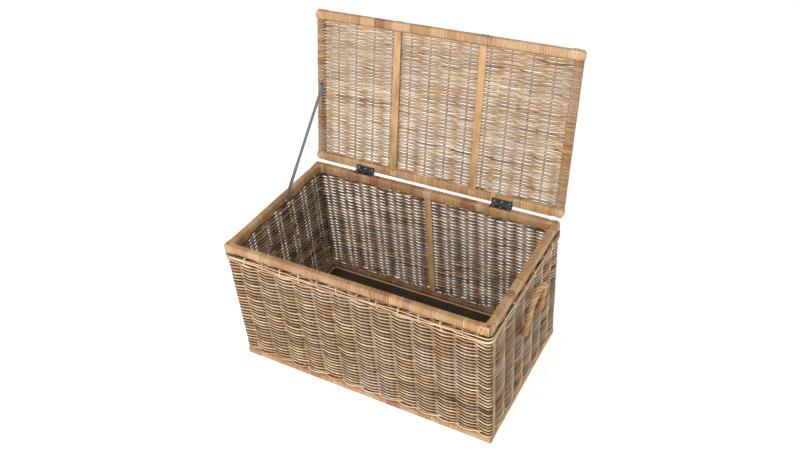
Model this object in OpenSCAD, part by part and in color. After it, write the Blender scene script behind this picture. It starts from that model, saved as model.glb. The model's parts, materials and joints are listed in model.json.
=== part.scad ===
// Woven rattan storage trunk with a hinged lid, a lid strap and two rope handles.
// The origin is the middle of the base on the floor. The front faces -Y and the
// lid is shown standing open against its strap.

/* [Trunk] */
// Width over the rim, left to right
trunk_w = 800; // [640:10:960]
// Depth over the rim, front to back
trunk_d = 470; // [380:5:570]
// Height to the top of the rim
trunk_h = 416; // [340:2:500]
// Radius of the upright corners in plan
corner_r = 14; // [11:1:17]

/* [Woven walls] */
// Thickness of one layer of weavers
weaver_d = 5; // [3:0.5:7]
// Diameter of the stakes between the two layers of weavers
stake_d = 8; // [6:0.5:12]
// Diameter of the four corner posts
post_d = 12; // [9:0.5:12.5]
// Stakes in the front wall and in the back wall
stakes_long = 12; // [8:1:16]
// Stakes in each end wall
stakes_short = 6; // [4:1:9]
// Diameter of the loose border canes under the rim
border_d = 5; // [3:0.5:7]

/* [Rim and base rails] */
// Width of the wrapped rim rail
rim_rail_w = 20; // [18:1:28]
// Height of the wrapped rim rail
rim_rail_h = 25; // [18:1:32]
// Height of the wrapped base rail
base_rail_h = 20; // [16:1:28]
// Edge rounding of the rails
rail_round = 5; // [3:0.5:7]
// Thickness of the split cane that is wound round the rails
cane_t = 1.6; // [1:0.1:2.2]
// Length of the crossed binding at each corner
corner_l = 34; // [30:1:60]
// Width of the ledge rail inside, round the base
ledge_w = 15; // [8:1:24]
// Height of the ledge rail inside
ledge_h = 16; // [8:1:24]

/* [Base] */
// Thickness of the base board
board_t = 6; // [4:0.5:9]
// Width of the bars under the base board
bar_w = 24; // [16:1:40]
// Distance from the middle bar to the outer bars
bar_pitch = 250; // [160:10:290]

/* [Battens] */
// Width of the flat battens
batten_w = 21; // [14:1:30]
// Thickness of the flat battens
batten_t = 3; // [2:0.5:4]
// Distance of the lid battens from the middle
lid_batten_x = 130; // [100:5:160]

/* [Lid] */
// How far each end of the lid reaches past the rim
lid_overhang = 3; // [0:1:8]
// How far the lid's front edge stays behind the rim's front
lid_setback = 8; // [0:1:20]
// Thickness of the lid rails
lid_t = 20; // [18:1:26]
// Width of the front lid rail
lid_front_w = 26; // [22:1:34]
// Width of the hinged lid rail
lid_back_w = 24; // [22:1:34]
// Edge rounding of the lid rails
lid_round = 7; // [4:0.5:8]
// Width of each woven lid side
lid_side_w = 28; // [24:1:36]
// Diameter of the pole inside each woven lid side
lid_pole_d = 15; // [10:0.5:16]
// Thickness of one layer of lid weavers
lid_weaver_d = 3.6; // [2.5:0.1:4.5]
// Diameter of the lid stakes
lid_stake_d = 6; // [4:0.5:8]
// How far the lid stands open, from closed
lid_open = 102; // [90:1:108]

/* [Hinges] */
// Length of each butt hinge
hinge_l = 63; // [56:1:76]
// Width of a hinge leaf from the pin to its edge
leaf_w = 17; // [14:0.5:19]
// Thickness of a hinge leaf
leaf_t = 1.6; // [1.2:0.1:2]
// Outer diameter of the hinge knuckles
knuckle_d = 6; // [5:0.5:7]
// Diameter of the hinge pin
pin_d = 2.4; // [2:0.1:3]
// Distance of each hinge from the middle
hinge_x = 225; // [180:5:260]
// Spacing of the three screws in a leaf
screw_pitch = 23; // [18:1:24]
// Shank diameter of the hinge screws
screw_d = 2.8; // [2:0.1:3]
// Length of the screws
screw_l = 12; // [8:1:14]

/* [Strap] */
// Width of the lid strap
strap_w = 10; // [8:0.5:16]
// Thickness of the lid strap
strap_t = 1.5; // [1:0.1:2.5]
// Distance of the strap's upper end from the hinge pin
strap_up = 236; // [180:2:280]
// Distance of the strap's lower end behind the middle
strap_back = 31; // [0:1:60]
// Depth of the strap's lower end under the rim's top
strap_drop = 14; // [10:1:16]

/* [Handles] */
// Diameter of the handle rope
rope_d = 14; // [10:0.5:18]
// Distance between the two legs of a handle
handle_span = 106; // [90:2:140]
// Height of the handle above its ends
handle_rise = 120; // [100:2:150]
// Depth of the handle's ends under the rim's top
handle_drop = 179; // [150:1:240]
// Distance of the handles behind the middle of the end walls
handle_back = 16; // [0:1:30]
// Lean of the standing handle away from the wall
handle_lean = 9; // [8:1:30]
// Thickness of the bindings on the rope's ends
collar_t = 1.8; // [1:0.1:3]
// Length of the bindings on the rope's ends
collar_l = 26; // [16:1:36]
// Diameter of the handle's tails where they pass through the wall
tail_d = 8; // [6:0.5:12]

/* [Fits] */
// Gap between pieces that lie against each other
clearance = 0.2; // [0.1:0.05:0.4]
// Radial gap of the hinge pin in its knuckles
pin_clearance = 0.05; // [0.02:0.01:0.1]
// Gap between pieces that move past each other
running_gap = 0.3; // [0.3:0.05:0.6]

/* [Hidden] */

$fn = 48;
cane_colour = [0.78, 0.60, 0.38];
weave_colour = [0.62, 0.53, 0.42];
pole_colour = [0.55, 0.40, 0.24];
board_colour = [0.30, 0.26, 0.20];
hinge_colour = [0.08, 0.08, 0.08];
screw_colour = [0.75, 0.75, 0.76];
strap_colour = [0.47, 0.48, 0.48];
rope_colour = [0.80, 0.62, 0.34];

half_w = trunk_w / 2;
half_d = trunk_d / 2;
wall_t = 2 * weaver_d + stake_d;
weave_z0 = base_rail_h;
weave_z1 = trunk_h - rim_rail_h;
board_z0 = base_rail_h - board_t;
inner_w = half_w - wall_t;      // inner faces of the end walls
inner_d = half_d - wall_t;      // inner faces of the front and back walls
post_room = weaver_d + post_d / 2 + clearance;
post_in = max(wall_t, weaver_d + post_d + 2 * clearance);
border_zs = [weave_z1 - 4, weave_z1 - 12];
band_t = 1;                     // a single turn of cane over another piece
cut = 1;                        // how far a cutter runs past a face

hinge_gap = 0.6;                // between the two closed leaves
pin_y = half_d + knuckle_d / 2 + clearance;
pin_z = trunk_h + leaf_t + hinge_gap / 2;
lid_z0 = pin_z + hinge_gap / 2 + leaf_t;
lid_zc = lid_z0 + lid_t / 2;
lid_w = trunk_w + 2 * lid_overhang;
lid_d = trunk_d - lid_setback;
lid_y1 = half_d;                // closed lid, back edge
lid_y0 = half_d - lid_d;        // closed lid, front edge
lid_in_y0 = lid_y0 + lid_front_w;
lid_in_y1 = lid_y1 - lid_back_w;
lid_pitch = (lid_w - lid_side_w) / (stakes_long + 1);
screw_y = pin_y - 0.56 * leaf_w;

handle_z = trunk_h - handle_drop;
collar_d = rope_d + 2 * clearance + 2 * collar_t;
handle_x = half_w + collar_d / 2 + 2 * running_gap;
short_pitch = (trunk_d - wall_t) / (stakes_short + 1);
tail_room = (stake_d + tail_d) / 2 + clearance;
tail_spots = [between_stakes(handle_back - handle_span / 2),
              between_stakes(handle_back + handle_span / 2)];
rope_mid = (tail_spots[0] + tail_spots[1]) / 2;
rope_span = tail_spots[1] - tail_spots[0];

// The place nearest y where a tail passes clear of the end wall's stakes
function between_stakes(y) =
    let (first = -(trunk_d - wall_t) / 2,
         low = first + floor((y - first) / short_pitch) * short_pitch)
    min(max(y, low + tail_room), low + short_pitch - tail_room);

// A rectangle with rounded corners, centred, as a list of points
function round_rect(w, h, r, n = 5) = [
    for (q = [0:3], k = [0:n])
        let (a = 90 * q + 90 * k / n,
             sx = (q == 0 || q == 3) ? 1 : -1,
             sy = (q < 2) ? 1 : -1)
        [sx * (w / 2 - r) + r * cos(a), sy * (h / 2 - r) + r * sin(a)]];

function unit(v) = v / norm(v);

// A tube along a flat path; n is the direction across the path's plane
module tube(path, n, r, sides = 10) {
    last = len(path) - 1;
    rings = [for (i = [0:last])
        let (t = unit(path[min(i + 1, last)] - path[max(i - 1, 0)]), b = cross(t, n))
        for (k = [0:sides - 1])
            path[i] + r * (cos(360 * k / sides) * n + sin(360 * k / sides) * b)];
    polyhedron(
        points = rings,
        faces = concat(
            [[for (k = [0:sides - 1]) k]],
            [[for (k = [sides - 1:-1:0]) last * sides + k]],
            [for (i = [0:last - 1], k = [0:sides - 1])
                let (a = i * sides + k, b = i * sides + (k + 1) % sides)
                [a, a + sides, b + sides, b]]),
        convexity = 6);
}

module bar_x(len, w, h, r) {
    rotate([90, 0, 90]) linear_extrude(len, center = true) polygon(round_rect(w, h, r));
}

module bar_y(len, w, h, r) {
    rotate([90, 0, 0]) linear_extrude(len, center = true) polygon(round_rect(w, h, r));
}

module box(x0, x1, y0, y1, z0, z1) {
    translate([x0, y0, z0]) cube([x1 - x0, y1 - y0, z1 - z0]);
}

// The plan of the trunk, drawn in by inset, as a tall block
module plan_block(inset = 0) {
    linear_extrude(2 * trunk_h, center = true)
        polygon(round_rect(trunk_w - 2 * inset, trunk_d - 2 * inset, corner_r - inset, 6));
}

// ---- rim and base rails -------------------------------------------------

// The outside of the front or back rail (side = -1 or 1) at height z0
module long_rail(side, z0, w, h, inset) {
    intersection() {
        translate([0, side * (half_d - w / 2), z0 + h / 2])
            bar_x(trunk_w - 2 * inset, w - 2 * inset, h - 2 * inset, rail_round - inset);
        plan_block(inset);
    }
}

// The left or right rail (side = -1 or 1) between the long rails
module short_rail(side, z0, w, h, inset) {
    translate([side * (half_w - w / 2), 0, z0 + h / 2])
        bar_y(trunk_d - 2 * w + 2 * inset, w - 2 * inset, h - 2 * inset, rail_round - inset);
}

module rail_cores(z0, w, h) {
    for (side = [-1, 1]) {
        long_rail(side, z0, w, h, cane_t);
        short_rail(side, z0, w, h, cane_t);
    }
}

module long_wrap(side, z0, w, h, ends) {
    difference() {
        intersection() {
            long_rail(side, z0, w, h, 0);
            box(-half_w + ends, half_w - ends, -half_d, half_d, z0, z0 + h);
        }
        rail_cores(z0, w, h);
    }
}

module short_wrap(side, z0, w, h, ends) {
    difference() {
        intersection() {
            short_rail(side, z0, w, h, 0);
            box(-half_w, half_w, -half_d + ends, half_d - ends, z0, z0 + h);
        }
        rail_cores(z0, w, h);
    }
}

module rim_rail_long(side) { color(pole_colour) long_rail(side, weave_z1, rim_rail_w, rim_rail_h, cane_t); }
module rim_rail_short(side) { color(pole_colour) short_rail(side, weave_z1, rim_rail_w, rim_rail_h, cane_t); }
module rim_wrap_long(side) { color(cane_colour) long_wrap(side, weave_z1, rim_rail_w, rim_rail_h, corner_l); }
module rim_wrap_short(side) {
    color(cane_colour) short_wrap(side, weave_z1, rim_rail_w, rim_rail_h, corner_l);
}

module base_rail_long(side) { color(pole_colour) long_rail(side, 0, rim_rail_w, base_rail_h, cane_t); }
module base_rail_short(side) { color(pole_colour) short_rail(side, 0, rim_rail_w, base_rail_h, cane_t); }

module base_wraps() {
    color(cane_colour)
    for (side = [-1, 1]) {
        long_wrap(side, 0, rim_rail_w, base_rail_h, 0);
        short_wrap(side, 0, rim_rail_w, base_rail_h, rim_rail_w + clearance);
    }
}

// Crossed cane bindings, one at each corner of the rim
module rim_corner_bindings() {
    color(cane_colour)
    for (sx = [-1, 1], sy = [-1, 1])
        difference() {
            intersection() {
                union() {
                    long_rail(sy, weave_z1, rim_rail_w, rim_rail_h, 0);
                    short_rail(sx, weave_z1, rim_rail_w, rim_rail_h, 0);
                }
                translate([sx * (half_w - corner_l / 2), sy * (half_d - corner_l / 2), trunk_h])
                    cube([corner_l, corner_l, 3 * rim_rail_h], center = true);
            }
            rail_cores(weave_z1, rim_rail_w, rim_rail_h);
        }
}

// ---- base ----------------------------------------------------------------

module base_board() {
    color(board_colour)
        box(-(half_w - rim_rail_w - clearance), half_w - rim_rail_w - clearance,
            -(half_d - rim_rail_w - clearance), half_d - rim_rail_w - clearance,
            board_z0, base_rail_h);
}

module base_bars() {
    color(pole_colour)
    for (x = [-bar_pitch, 0, bar_pitch])
        box(x - bar_w / 2, x + bar_w / 2, -(half_d - rim_rail_w - clearance),
            half_d - rim_rail_w - clearance, 0, board_z0);
}

// Four rails round the inside of the base, on the board
module ledge_rails() {
    color(cane_colour) {
        for (side = [-1, 1])
            translate([0, side * (inner_d - ledge_w / 2), base_rail_h + ledge_h / 2])
                bar_x(2 * inner_w, ledge_w, ledge_h, 3);
        for (side = [-1, 1])
            translate([side * (inner_w - ledge_w / 2), 0, base_rail_h + ledge_h / 2])
                bar_y(2 * (inner_d - ledge_w - clearance), ledge_w, ledge_h, 3);
    }
}

// ---- woven walls -----------------------------------------------------------

module corner_posts() {
    color(pole_colour)
    for (sx = [-1, 1], sy = [-1, 1])
        translate([sx * (half_w - post_room), sy * (half_d - post_room), weave_z0])
            cylinder(d = post_d, h = weave_z1 - weave_z0);
}

// A row of stakes between the two layers of weavers
module stakes_long_wall(side) {
    pitch = (trunk_w - wall_t) / (stakes_long + 1);
    color(pole_colour)
    for (k = [1:stakes_long])
        translate([-(trunk_w - wall_t) / 2 + k * pitch, side * (half_d - wall_t / 2), weave_z0])
            cylinder(d = stake_d - clearance, h = weave_z1 - weave_z0);
}

module stakes_short_wall(side) {
    color(pole_colour)
    for (k = [1:stakes_short])
        translate([side * (half_w - wall_t / 2), -(trunk_d - wall_t) / 2 + k * short_pitch, weave_z0])
            cylinder(d = stake_d - clearance, h = weave_z1 - weave_z0);
}

// Front or back wall: the weavers outside the stakes and those inside them
module weave_long(side) {
    color(weave_colour) {
        intersection() {
            translate([0, side * (half_d - weaver_d / 2), (weave_z0 + weave_z1) / 2])
                cube([trunk_w, weaver_d, weave_z1 - weave_z0], center = true);
            plan_block();
        }
        translate([0, side * (inner_d + weaver_d / 2), (weave_z0 + weave_z1) / 2])
            cube([trunk_w - 2 * post_in, weaver_d, weave_z1 - weave_z0], center = true);
    }
}

// Eight-sided holes for the handle's tails
module tail_holes(side) {
    for (y = tail_spots)
        translate([side * half_w, y, handle_z]) rotate([0, 90, 0])
            cylinder(d = tail_d + 2 * clearance, h = 3 * wall_t, center = true, $fn = 8);
}

module weave_short(side) {
    color(weave_colour)
    difference() {
        union() {
            translate([side * (half_w - weaver_d / 2), 0, (weave_z0 + weave_z1) / 2])
                cube([weaver_d, trunk_d - 2 * weaver_d, weave_z1 - weave_z0], center = true);
            translate([side * (inner_w + weaver_d / 2), 0, (weave_z0 + weave_z1) / 2])
                cube([weaver_d, trunk_d - 2 * post_in, weave_z1 - weave_z0], center = true);
        }
        tail_holes(side);
    }
}

// Two long canes laid round the outside, just under the rim
module border_canes() {
    reach = 24;
    color(weave_colour)
    for (z = border_zs, side = [-1, 1]) {
        translate([0, side * (half_d + border_d / 2 + clearance), z]) rotate([0, 90, 0])
            cylinder(d = border_d, h = trunk_w - 2 * reach, center = true);
        translate([side * (half_w + border_d / 2 + clearance), 0, z]) rotate([90, 0, 0])
            cylinder(d = border_d, h = trunk_d - 2 * reach, center = true);
    }
}

module back_batten() {
    color(cane_colour)
        box(-batten_w / 2, batten_w / 2, inner_d - batten_t, inner_d,
            base_rail_h + ledge_h, weave_z1);
}

// Turns of cane over the rim at the top of the back batten
module back_batten_binding() {
    y0 = half_d - rim_rail_w;
    color(cane_colour)
    difference() {
        intersection() {
            translate([0, half_d - rim_rail_w / 2, weave_z1 + rim_rail_h / 2])
                bar_x(batten_w, rim_rail_w + 2 * band_t, rim_rail_h + 2 * band_t, rail_round + band_t);
            box(-batten_w, batten_w, y0 - band_t, half_d + band_t, weave_z1, trunk_h + band_t);
        }
        long_rail(1, weave_z1, rim_rail_w, rim_rail_h, 0);
    }
}

// ---- lid, drawn closed and then swung open ---------------------------------

module swing_open() {
    translate([0, pin_y, pin_z]) rotate([-lid_open, 0, 0]) translate([0, -pin_y, -pin_z])
        children();
}

module lid_plan(inset) {
    translate([0, (lid_y0 + lid_y1) / 2, lid_zc])
        linear_extrude(2 * lid_t, center = true)
            polygon(round_rect(lid_w - 2 * inset, lid_d - 2 * inset, 10 - inset, 6));
}

module lid_front_bar(inset) {
    intersection() {
        translate([0, lid_y0 + lid_front_w / 2, lid_zc])
            bar_x(lid_w - 2 * inset, lid_front_w - 2 * inset, lid_t - 2 * inset, lid_round - inset);
        lid_plan(inset);
    }
}

module lid_back_bar(inset) {
    intersection() {
        translate([0, lid_y1 - lid_back_w / 2, lid_zc])
            bar_x(lid_w - 2 * inset, lid_back_w - 2 * inset, lid_t - 2 * inset, lid_round - inset);
        lid_plan(inset);
    }
}

module lid_pole(side, grow) {
    translate([side * (lid_w - lid_side_w) / 2, (lid_in_y0 + lid_in_y1) / 2, lid_zc])
        rotate([90, 0, 0])
            linear_extrude(lid_in_y1 - lid_in_y0 + 2 * cane_t, center = true)
                polygon(round_rect(lid_pole_d + 2 * grow, lid_pole_d + 2 * grow,
                                   lid_pole_d / 2 + grow - 0.01));
}

module lid_rail_front() { color(pole_colour) swing_open() lid_front_bar(cane_t); }
module lid_rail_back() { color(pole_colour) swing_open() lid_back_bar(cane_t); }
module lid_rail_side(side) { color(pole_colour) swing_open() lid_pole(side, 0); }

module lid_wrap_front() {
    color(cane_colour) swing_open() difference() {
        intersection() {
            lid_front_bar(0);
            box(-lid_w / 2 + corner_l, lid_w / 2 - corner_l, lid_y0, lid_y1, lid_z0, lid_z0 + lid_t);
        }
        lid_front_bar(cane_t);
    }
}

module lid_wrap_back() {
    color(cane_colour) swing_open() difference() {
        intersection() {
            lid_back_bar(0);
            box(-lid_w / 2 + corner_l, lid_w / 2 - corner_l, lid_y0, lid_y1, lid_z0, lid_z0 + lid_t);
        }
        lid_back_bar(cane_t);
    }
}

// Crossed cane bindings on the four ends of the lid rails
module lid_corner_bindings() {
    color(cane_colour) swing_open()
    for (side = [-1, 1])
        difference() {
            intersection() {
                union() {
                    lid_front_bar(0);
                    lid_back_bar(0);
                }
                translate([side * (lid_w - corner_l) / 2, 0, lid_zc])
                    cube([corner_l, 2 * lid_d, 2 * lid_t], center = true);
            }
            lid_front_bar(cane_t);
            lid_back_bar(cane_t);
            lid_pole(side, 0);
        }
}

// Weavers turned round the pole at each end of the lid
module lid_edge_weave(side) {
    color(weave_colour) swing_open() difference() {
        translate([side * (lid_w - lid_side_w) / 2, (lid_in_y0 + lid_in_y1) / 2, lid_zc])
            bar_y(lid_in_y1 - lid_in_y0, lid_side_w, lid_t, rail_round);
        lid_pole(side, clearance);
    }
}

module lid_stakes() {
    color(pole_colour) swing_open()
    for (k = [1:stakes_long])
        translate([-(lid_w - lid_side_w) / 2 + k * lid_pitch, (lid_in_y0 + lid_in_y1) / 2, lid_zc])
            rotate([90, 0, 0])
                cylinder(d = lid_stake_d - clearance, h = lid_in_y1 - lid_in_y0, center = true);
}

// The weavers over the lid stakes and those under them
module lid_weave() {
    color(weave_colour) swing_open()
    for (side = [-1, 1])
        translate([0, (lid_in_y0 + lid_in_y1) / 2, lid_zc + side * (lid_stake_d + lid_weaver_d) / 2])
            cube([lid_w - 2 * lid_side_w, lid_in_y1 - lid_in_y0, lid_weaver_d], center = true);
}

module lid_batten(side) {
    z1 = lid_zc - lid_stake_d / 2 - lid_weaver_d;
    color(cane_colour) swing_open()
        box(side * lid_batten_x - batten_w / 2, side * lid_batten_x + batten_w / 2,
            lid_in_y0, lid_in_y1, z1 - batten_t, z1);
}

// Turns of cane over the lid rails at both ends of each batten
module lid_batten_bindings() {
    color(cane_colour) swing_open()
    for (side = [-1, 1]) {
        translate([side * lid_batten_x, lid_y0 + lid_front_w / 2, lid_zc]) difference() {
            bar_x(batten_w, lid_front_w + 2 * band_t, lid_t + 2 * band_t, lid_round + band_t);
            bar_x(batten_w + cut, lid_front_w, lid_t, lid_round);
            box(-batten_w, batten_w, lid_front_w / 2, lid_front_w, -lid_t, lid_t);
        }
        translate([side * lid_batten_x, lid_y1 - lid_back_w / 2, lid_zc]) difference() {
            bar_x(batten_w, lid_back_w + 2 * band_t, lid_t + 2 * band_t, lid_round + band_t);
            bar_x(batten_w + cut, lid_back_w, lid_t, lid_round);
            box(-batten_w, batten_w, -lid_back_w, -lid_back_w / 2, -lid_t, lid_t);
        }
    }
}

// ---- hinges ------------------------------------------------------------------

module along_pin(d, x0, x1) {
    translate([x0, pin_y, pin_z]) rotate([0, 90, 0]) cylinder(d = d, h = x1 - x0);
}

// The knuckles of a leaf, as stretches along the pin: the lower leaf holds the
// two outer ones and the upper leaf the middle one
function knuckles(lower) = lower
    ? [[-hinge_l / 2, -hinge_l / 6 - running_gap / 2], [hinge_l / 6 + running_gap / 2, hinge_l / 2]]
    : [[-hinge_l / 6 + running_gap / 2, hinge_l / 6 - running_gap / 2]];

module screw_shape(grow, length) {
    head_h = leaf_t - 0.2;
    translate([0, 0, -head_h])
        cylinder(d1 = screw_d + 2 * grow, d2 = 2.1 * screw_d + 2 * grow, h = head_h);
    translate([0, 0, -length]) cylinder(d = screw_d + 2 * grow, h = length - head_h + 0.01);
}

// A leaf drawn flat with its screwed face up; top is that face's height
module leaf(x, lower) {
    z0 = lower ? trunk_h : pin_z + hinge_gap / 2;
    difference() {
        union() {
            box(x - hinge_l / 2, x + hinge_l / 2, pin_y - leaf_w,
                pin_y - knuckle_d / 2 - running_gap, z0, z0 + leaf_t);
            for (k = knuckles(lower)) {
                box(x + k[0], x + k[1], pin_y - knuckle_d / 2 - running_gap - cut, pin_y,
                    z0, z0 + leaf_t);
                along_pin(knuckle_d, x + k[0], x + k[1]);
            }
        }
        along_pin(pin_d + 2 * pin_clearance, x - hinge_l, x + hinge_l);
        leaf_screws(x, lower, clearance / 2);
    }
}

module leaf_screws(x, lower, grow) {
    for (k = [-1, 0, 1])
        translate([x + k * screw_pitch, screw_y, lower ? trunk_h + leaf_t : pin_z + hinge_gap / 2])
            mirror([0, 0, lower ? 0 : 1]) screw_shape(grow, screw_l);
}

module hinge_lower_leaf(side) { color(hinge_colour) leaf(side * hinge_x, true); }
module hinge_upper_leaf(side) { color(hinge_colour) swing_open() leaf(side * hinge_x, false); }

module hinge_pins() {
    color(hinge_colour) for (side = [-1, 1])
        along_pin(pin_d, side * hinge_x - hinge_l / 2 + 0.5, side * hinge_x + hinge_l / 2 - 0.5);
}

module hinge_lower_screws() {
    color(screw_colour) for (side = [-1, 1]) leaf_screws(side * hinge_x, true, 0);
}

module hinge_upper_screws() {
    color(screw_colour) swing_open() for (side = [-1, 1]) leaf_screws(side * hinge_x, false, 0);
}

// ---- lid strap -----------------------------------------------------------------

strap_low = [-(half_w - rim_rail_w - strap_t / 2 - running_gap), strap_back, trunk_h - strap_drop];
lid_up = [0, -cos(lid_open), sin(lid_open)];        // along the open lid, away from the pin
lid_face = [0, -sin(lid_open), -cos(lid_open)];     // out of the lid's inner face
strap_top_x = -((lid_w - lid_side_w - lid_pole_d + screw_d) / 2);     // over the side's pole
strap_bend = [strap_top_x, pin_y, pin_z] + strap_up * lid_up
    + (strap_t / 2 + running_gap - hinge_gap / 2 - leaf_t) * lid_face;
strap_end = strap_bend + strap_w * lid_up;
screw_slant = screw_d / 2 + clearance;

// The strap: flat on the rail at its foot, turned a quarter on its way up,
// and flat on the lid's woven side at its top
module strap() {
    steps = 16;
    run = strap_bend - strap_low;
    centres = concat([for (i = [0:steps]) strap_low + i / steps * run], [strap_end]);
    ways = concat([for (i = [0:steps]) i == steps ? unit(unit(run) + lid_up) : unit(run)], [lid_up]);
    turns = concat([for (i = [0:steps]) 90 * min(1, (steps - i) / (steps - 2))], [0]);
    rings = [for (i = [0:steps + 1])
        let (across = unit(cross(ways[i], [1, 0, 0])),
             wide = cos(turns[i]) * [1, 0, 0] + sin(turns[i]) * across,
             thin = cross(ways[i], wide))
        for (c = [[-1, -1], [1, -1], [1, 1], [-1, 1]])
            centres[i] + c[0] * strap_w / 2 * wide + c[1] * strap_t / 2 * thin];
    color(strap_colour)
    polyhedron(
        points = rings,
        faces = concat(
            [[3, 2, 1, 0]],
            [[for (k = [0:3]) 4 * (steps + 1) + k]],
            [for (i = [0:steps], k = [0:3], half = [0, 1])
                let (a = 4 * i + k, b = 4 * i + (k + 1) % 4)
                half == 0 ? [a, b, b + 4] : [a, b + 4, a + 4]]),
        convexity = 4);
}

// A screw whose washer head holds the strap's end; it stands on the origin, facing +Z
module strap_screw(lift) {
    color(screw_colour) {
        translate([0, 0, lift + strap_t + clearance]) cylinder(d = 3 * screw_d, h = 1.2);
        translate([0, 0, -screw_l]) cylinder(d = screw_d, h = screw_l + lift + strap_t + clearance + 0.6);
    }
}

// In the left rim rail, just past the strap's foot
module strap_lower_screw() {
    spot = strap_low - screw_slant * unit(strap_bend - strap_low);
    translate([-(half_w - rim_rail_w), spot[1], spot[2]]) rotate([0, 90, 0]) strap_screw(running_gap);
}

// In the woven left side of the lid, just past the strap's upper end
module strap_upper_screw() {
    swing_open()
        translate([strap_end[0], pin_y - strap_up - strap_w - screw_slant, lid_z0])
            rotate([180, 0, 0]) strap_screw(running_gap);
}

// ---- rope handles -----------------------------------------------------------------

// A handle is drawn upright over its swing axis, then leaned away from the wall
module lean(side) {
    translate([side * handle_x, rope_mid, handle_z]) rotate([0, side * handle_lean, 0]) children();
}

module handle_rope(side) {
    span_r = rope_span / 2;
    leg = handle_rise - span_r;
    arc = 20;
    path = concat(
        [for (z = [0, leg / 2]) [0, -span_r, z]],
        [for (k = [0:arc]) [0, -span_r * cos(180 * k / arc), leg + span_r * sin(180 * k / arc)]],
        [for (z = [leg / 2, 0]) [0, span_r, z]]);
    color(rope_colour) lean(side) tube(path, [1, 0, 0], rope_d / 2, 12);
}

// Cord bound round both ends of a handle's rope
module handle_bindings(side) {
    color(cane_colour) lean(side)
    for (y = [-rope_span / 2, rope_span / 2])
        translate([0, y, -1]) difference() {
            cylinder(d = collar_d, h = collar_l, $fn = 12);
            translate([0, 0, -cut]) cylinder(d = rope_d + 2 * clearance, h = collar_l + 2 * cut, $fn = 12);
        }
}

// The tails of a handle through the wall, each knotted inside, and the small
// cane loop that ties the wall between them
module handle_tails(side) {
    loop_r = 22;
    loop_d = 7;
    knot_l = 9;
    color(rope_colour) {
        for (y = tail_spots)
            translate([side * inner_w, y, handle_z]) rotate([0, side * 90, 0]) {
                cylinder(d = tail_d, h = wall_t, $fn = 8);
                translate([0, 0, -knot_l]) cylinder(d = 1.7 * tail_d, h = knot_l, $fn = 8);
            }
        translate([side * (inner_w - loop_d / 2 - clearance), handle_back + 24, handle_z + 48])
            rotate([0, 0, 90])
                tube([for (k = [0:12]) [loop_r * cos(15 * k), 0, loop_r * sin(15 * k)]],
                     [0, 1, 0], loop_d / 2, 8);
    }
}

// ---- nodes --------------------------------------------------------------------------

base_board();
base_bars();
base_rail_long(-1);  // base_rail_front
base_rail_long(1);  // base_rail_back
base_rail_short(-1);  // base_rail_left
base_rail_short(1);  // base_rail_right
base_wraps();
ledge_rails();
corner_posts();
stakes_long_wall(-1);  // stakes_front
stakes_long_wall(1);  // stakes_back
stakes_short_wall(-1);  // stakes_left
stakes_short_wall(1);  // stakes_right
weave_long(-1);  // weave_front
weave_long(1);  // weave_back
weave_short(-1);  // weave_left
weave_short(1);  // weave_right
rim_rail_long(-1);  // rim_rail_front
rim_rail_long(1);  // rim_rail_back
rim_rail_short(-1);  // rim_rail_left
rim_rail_short(1);  // rim_rail_right
rim_wrap_long(-1);  // rim_wrap_front
rim_wrap_long(1);  // rim_wrap_back
rim_wrap_short(-1);  // rim_wrap_left
rim_wrap_short(1);  // rim_wrap_right
rim_corner_bindings();
border_canes();
back_batten();
back_batten_binding();
handle_tails(-1);  // handle_tails_left
handle_tails(1);  // handle_tails_right
hinge_lower_leaf(-1);  // hinge_lower_leaf_left
hinge_lower_leaf(1);  // hinge_lower_leaf_right
hinge_pins();
hinge_lower_screws();
strap();
strap_lower_screw();
strap_upper_screw();
lid_rail_front();
lid_rail_back();
lid_rail_side(-1);  // lid_rail_left
lid_rail_side(1);  // lid_rail_right
lid_wrap_front();
lid_wrap_back();
lid_corner_bindings();
lid_edge_weave(-1);  // lid_edge_weave_left
lid_edge_weave(1);  // lid_edge_weave_right
lid_stakes();
lid_weave();
lid_batten(-1);  // lid_batten_left
lid_batten(1);  // lid_batten_right
lid_batten_bindings();
hinge_upper_leaf(-1);  // hinge_upper_leaf_left
hinge_upper_leaf(1);  // hinge_upper_leaf_right
hinge_upper_screws();
handle_rope(-1);  // handle_rope_left
handle_rope(1);  // handle_rope_right
handle_bindings(-1);  // handle_bindings_left
handle_bindings(1);  // handle_bindings_right
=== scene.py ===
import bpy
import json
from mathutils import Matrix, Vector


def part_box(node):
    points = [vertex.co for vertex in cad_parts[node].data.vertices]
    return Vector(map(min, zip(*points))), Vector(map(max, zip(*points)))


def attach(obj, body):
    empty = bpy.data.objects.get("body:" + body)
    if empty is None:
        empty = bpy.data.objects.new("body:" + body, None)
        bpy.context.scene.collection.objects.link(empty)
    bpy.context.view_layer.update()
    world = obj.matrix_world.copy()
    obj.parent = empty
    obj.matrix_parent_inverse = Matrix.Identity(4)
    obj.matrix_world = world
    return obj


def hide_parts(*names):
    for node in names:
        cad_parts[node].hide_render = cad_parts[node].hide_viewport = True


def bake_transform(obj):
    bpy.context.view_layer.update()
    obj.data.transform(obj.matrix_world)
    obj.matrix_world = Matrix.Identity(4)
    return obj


bl_info = {
    "name": "Wicker Storage Trunk",
    "version": (1, 0, 0),
    "blender": (4, 5, 0),
    "location": "View3D > Sidebar > Trunk",
    "description": "Weaves, wraps and fits out a rattan storage trunk round its frame",
    "category": "Add Mesh",
}

import json
import math
import random
from bisect import bisect

import bmesh
import bpy
import numpy as np
from bpy.props import FloatProperty, FloatVectorProperty, IntProperty, PointerProperty
from mathutils import Matrix, Quaternion, Vector, noise

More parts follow.
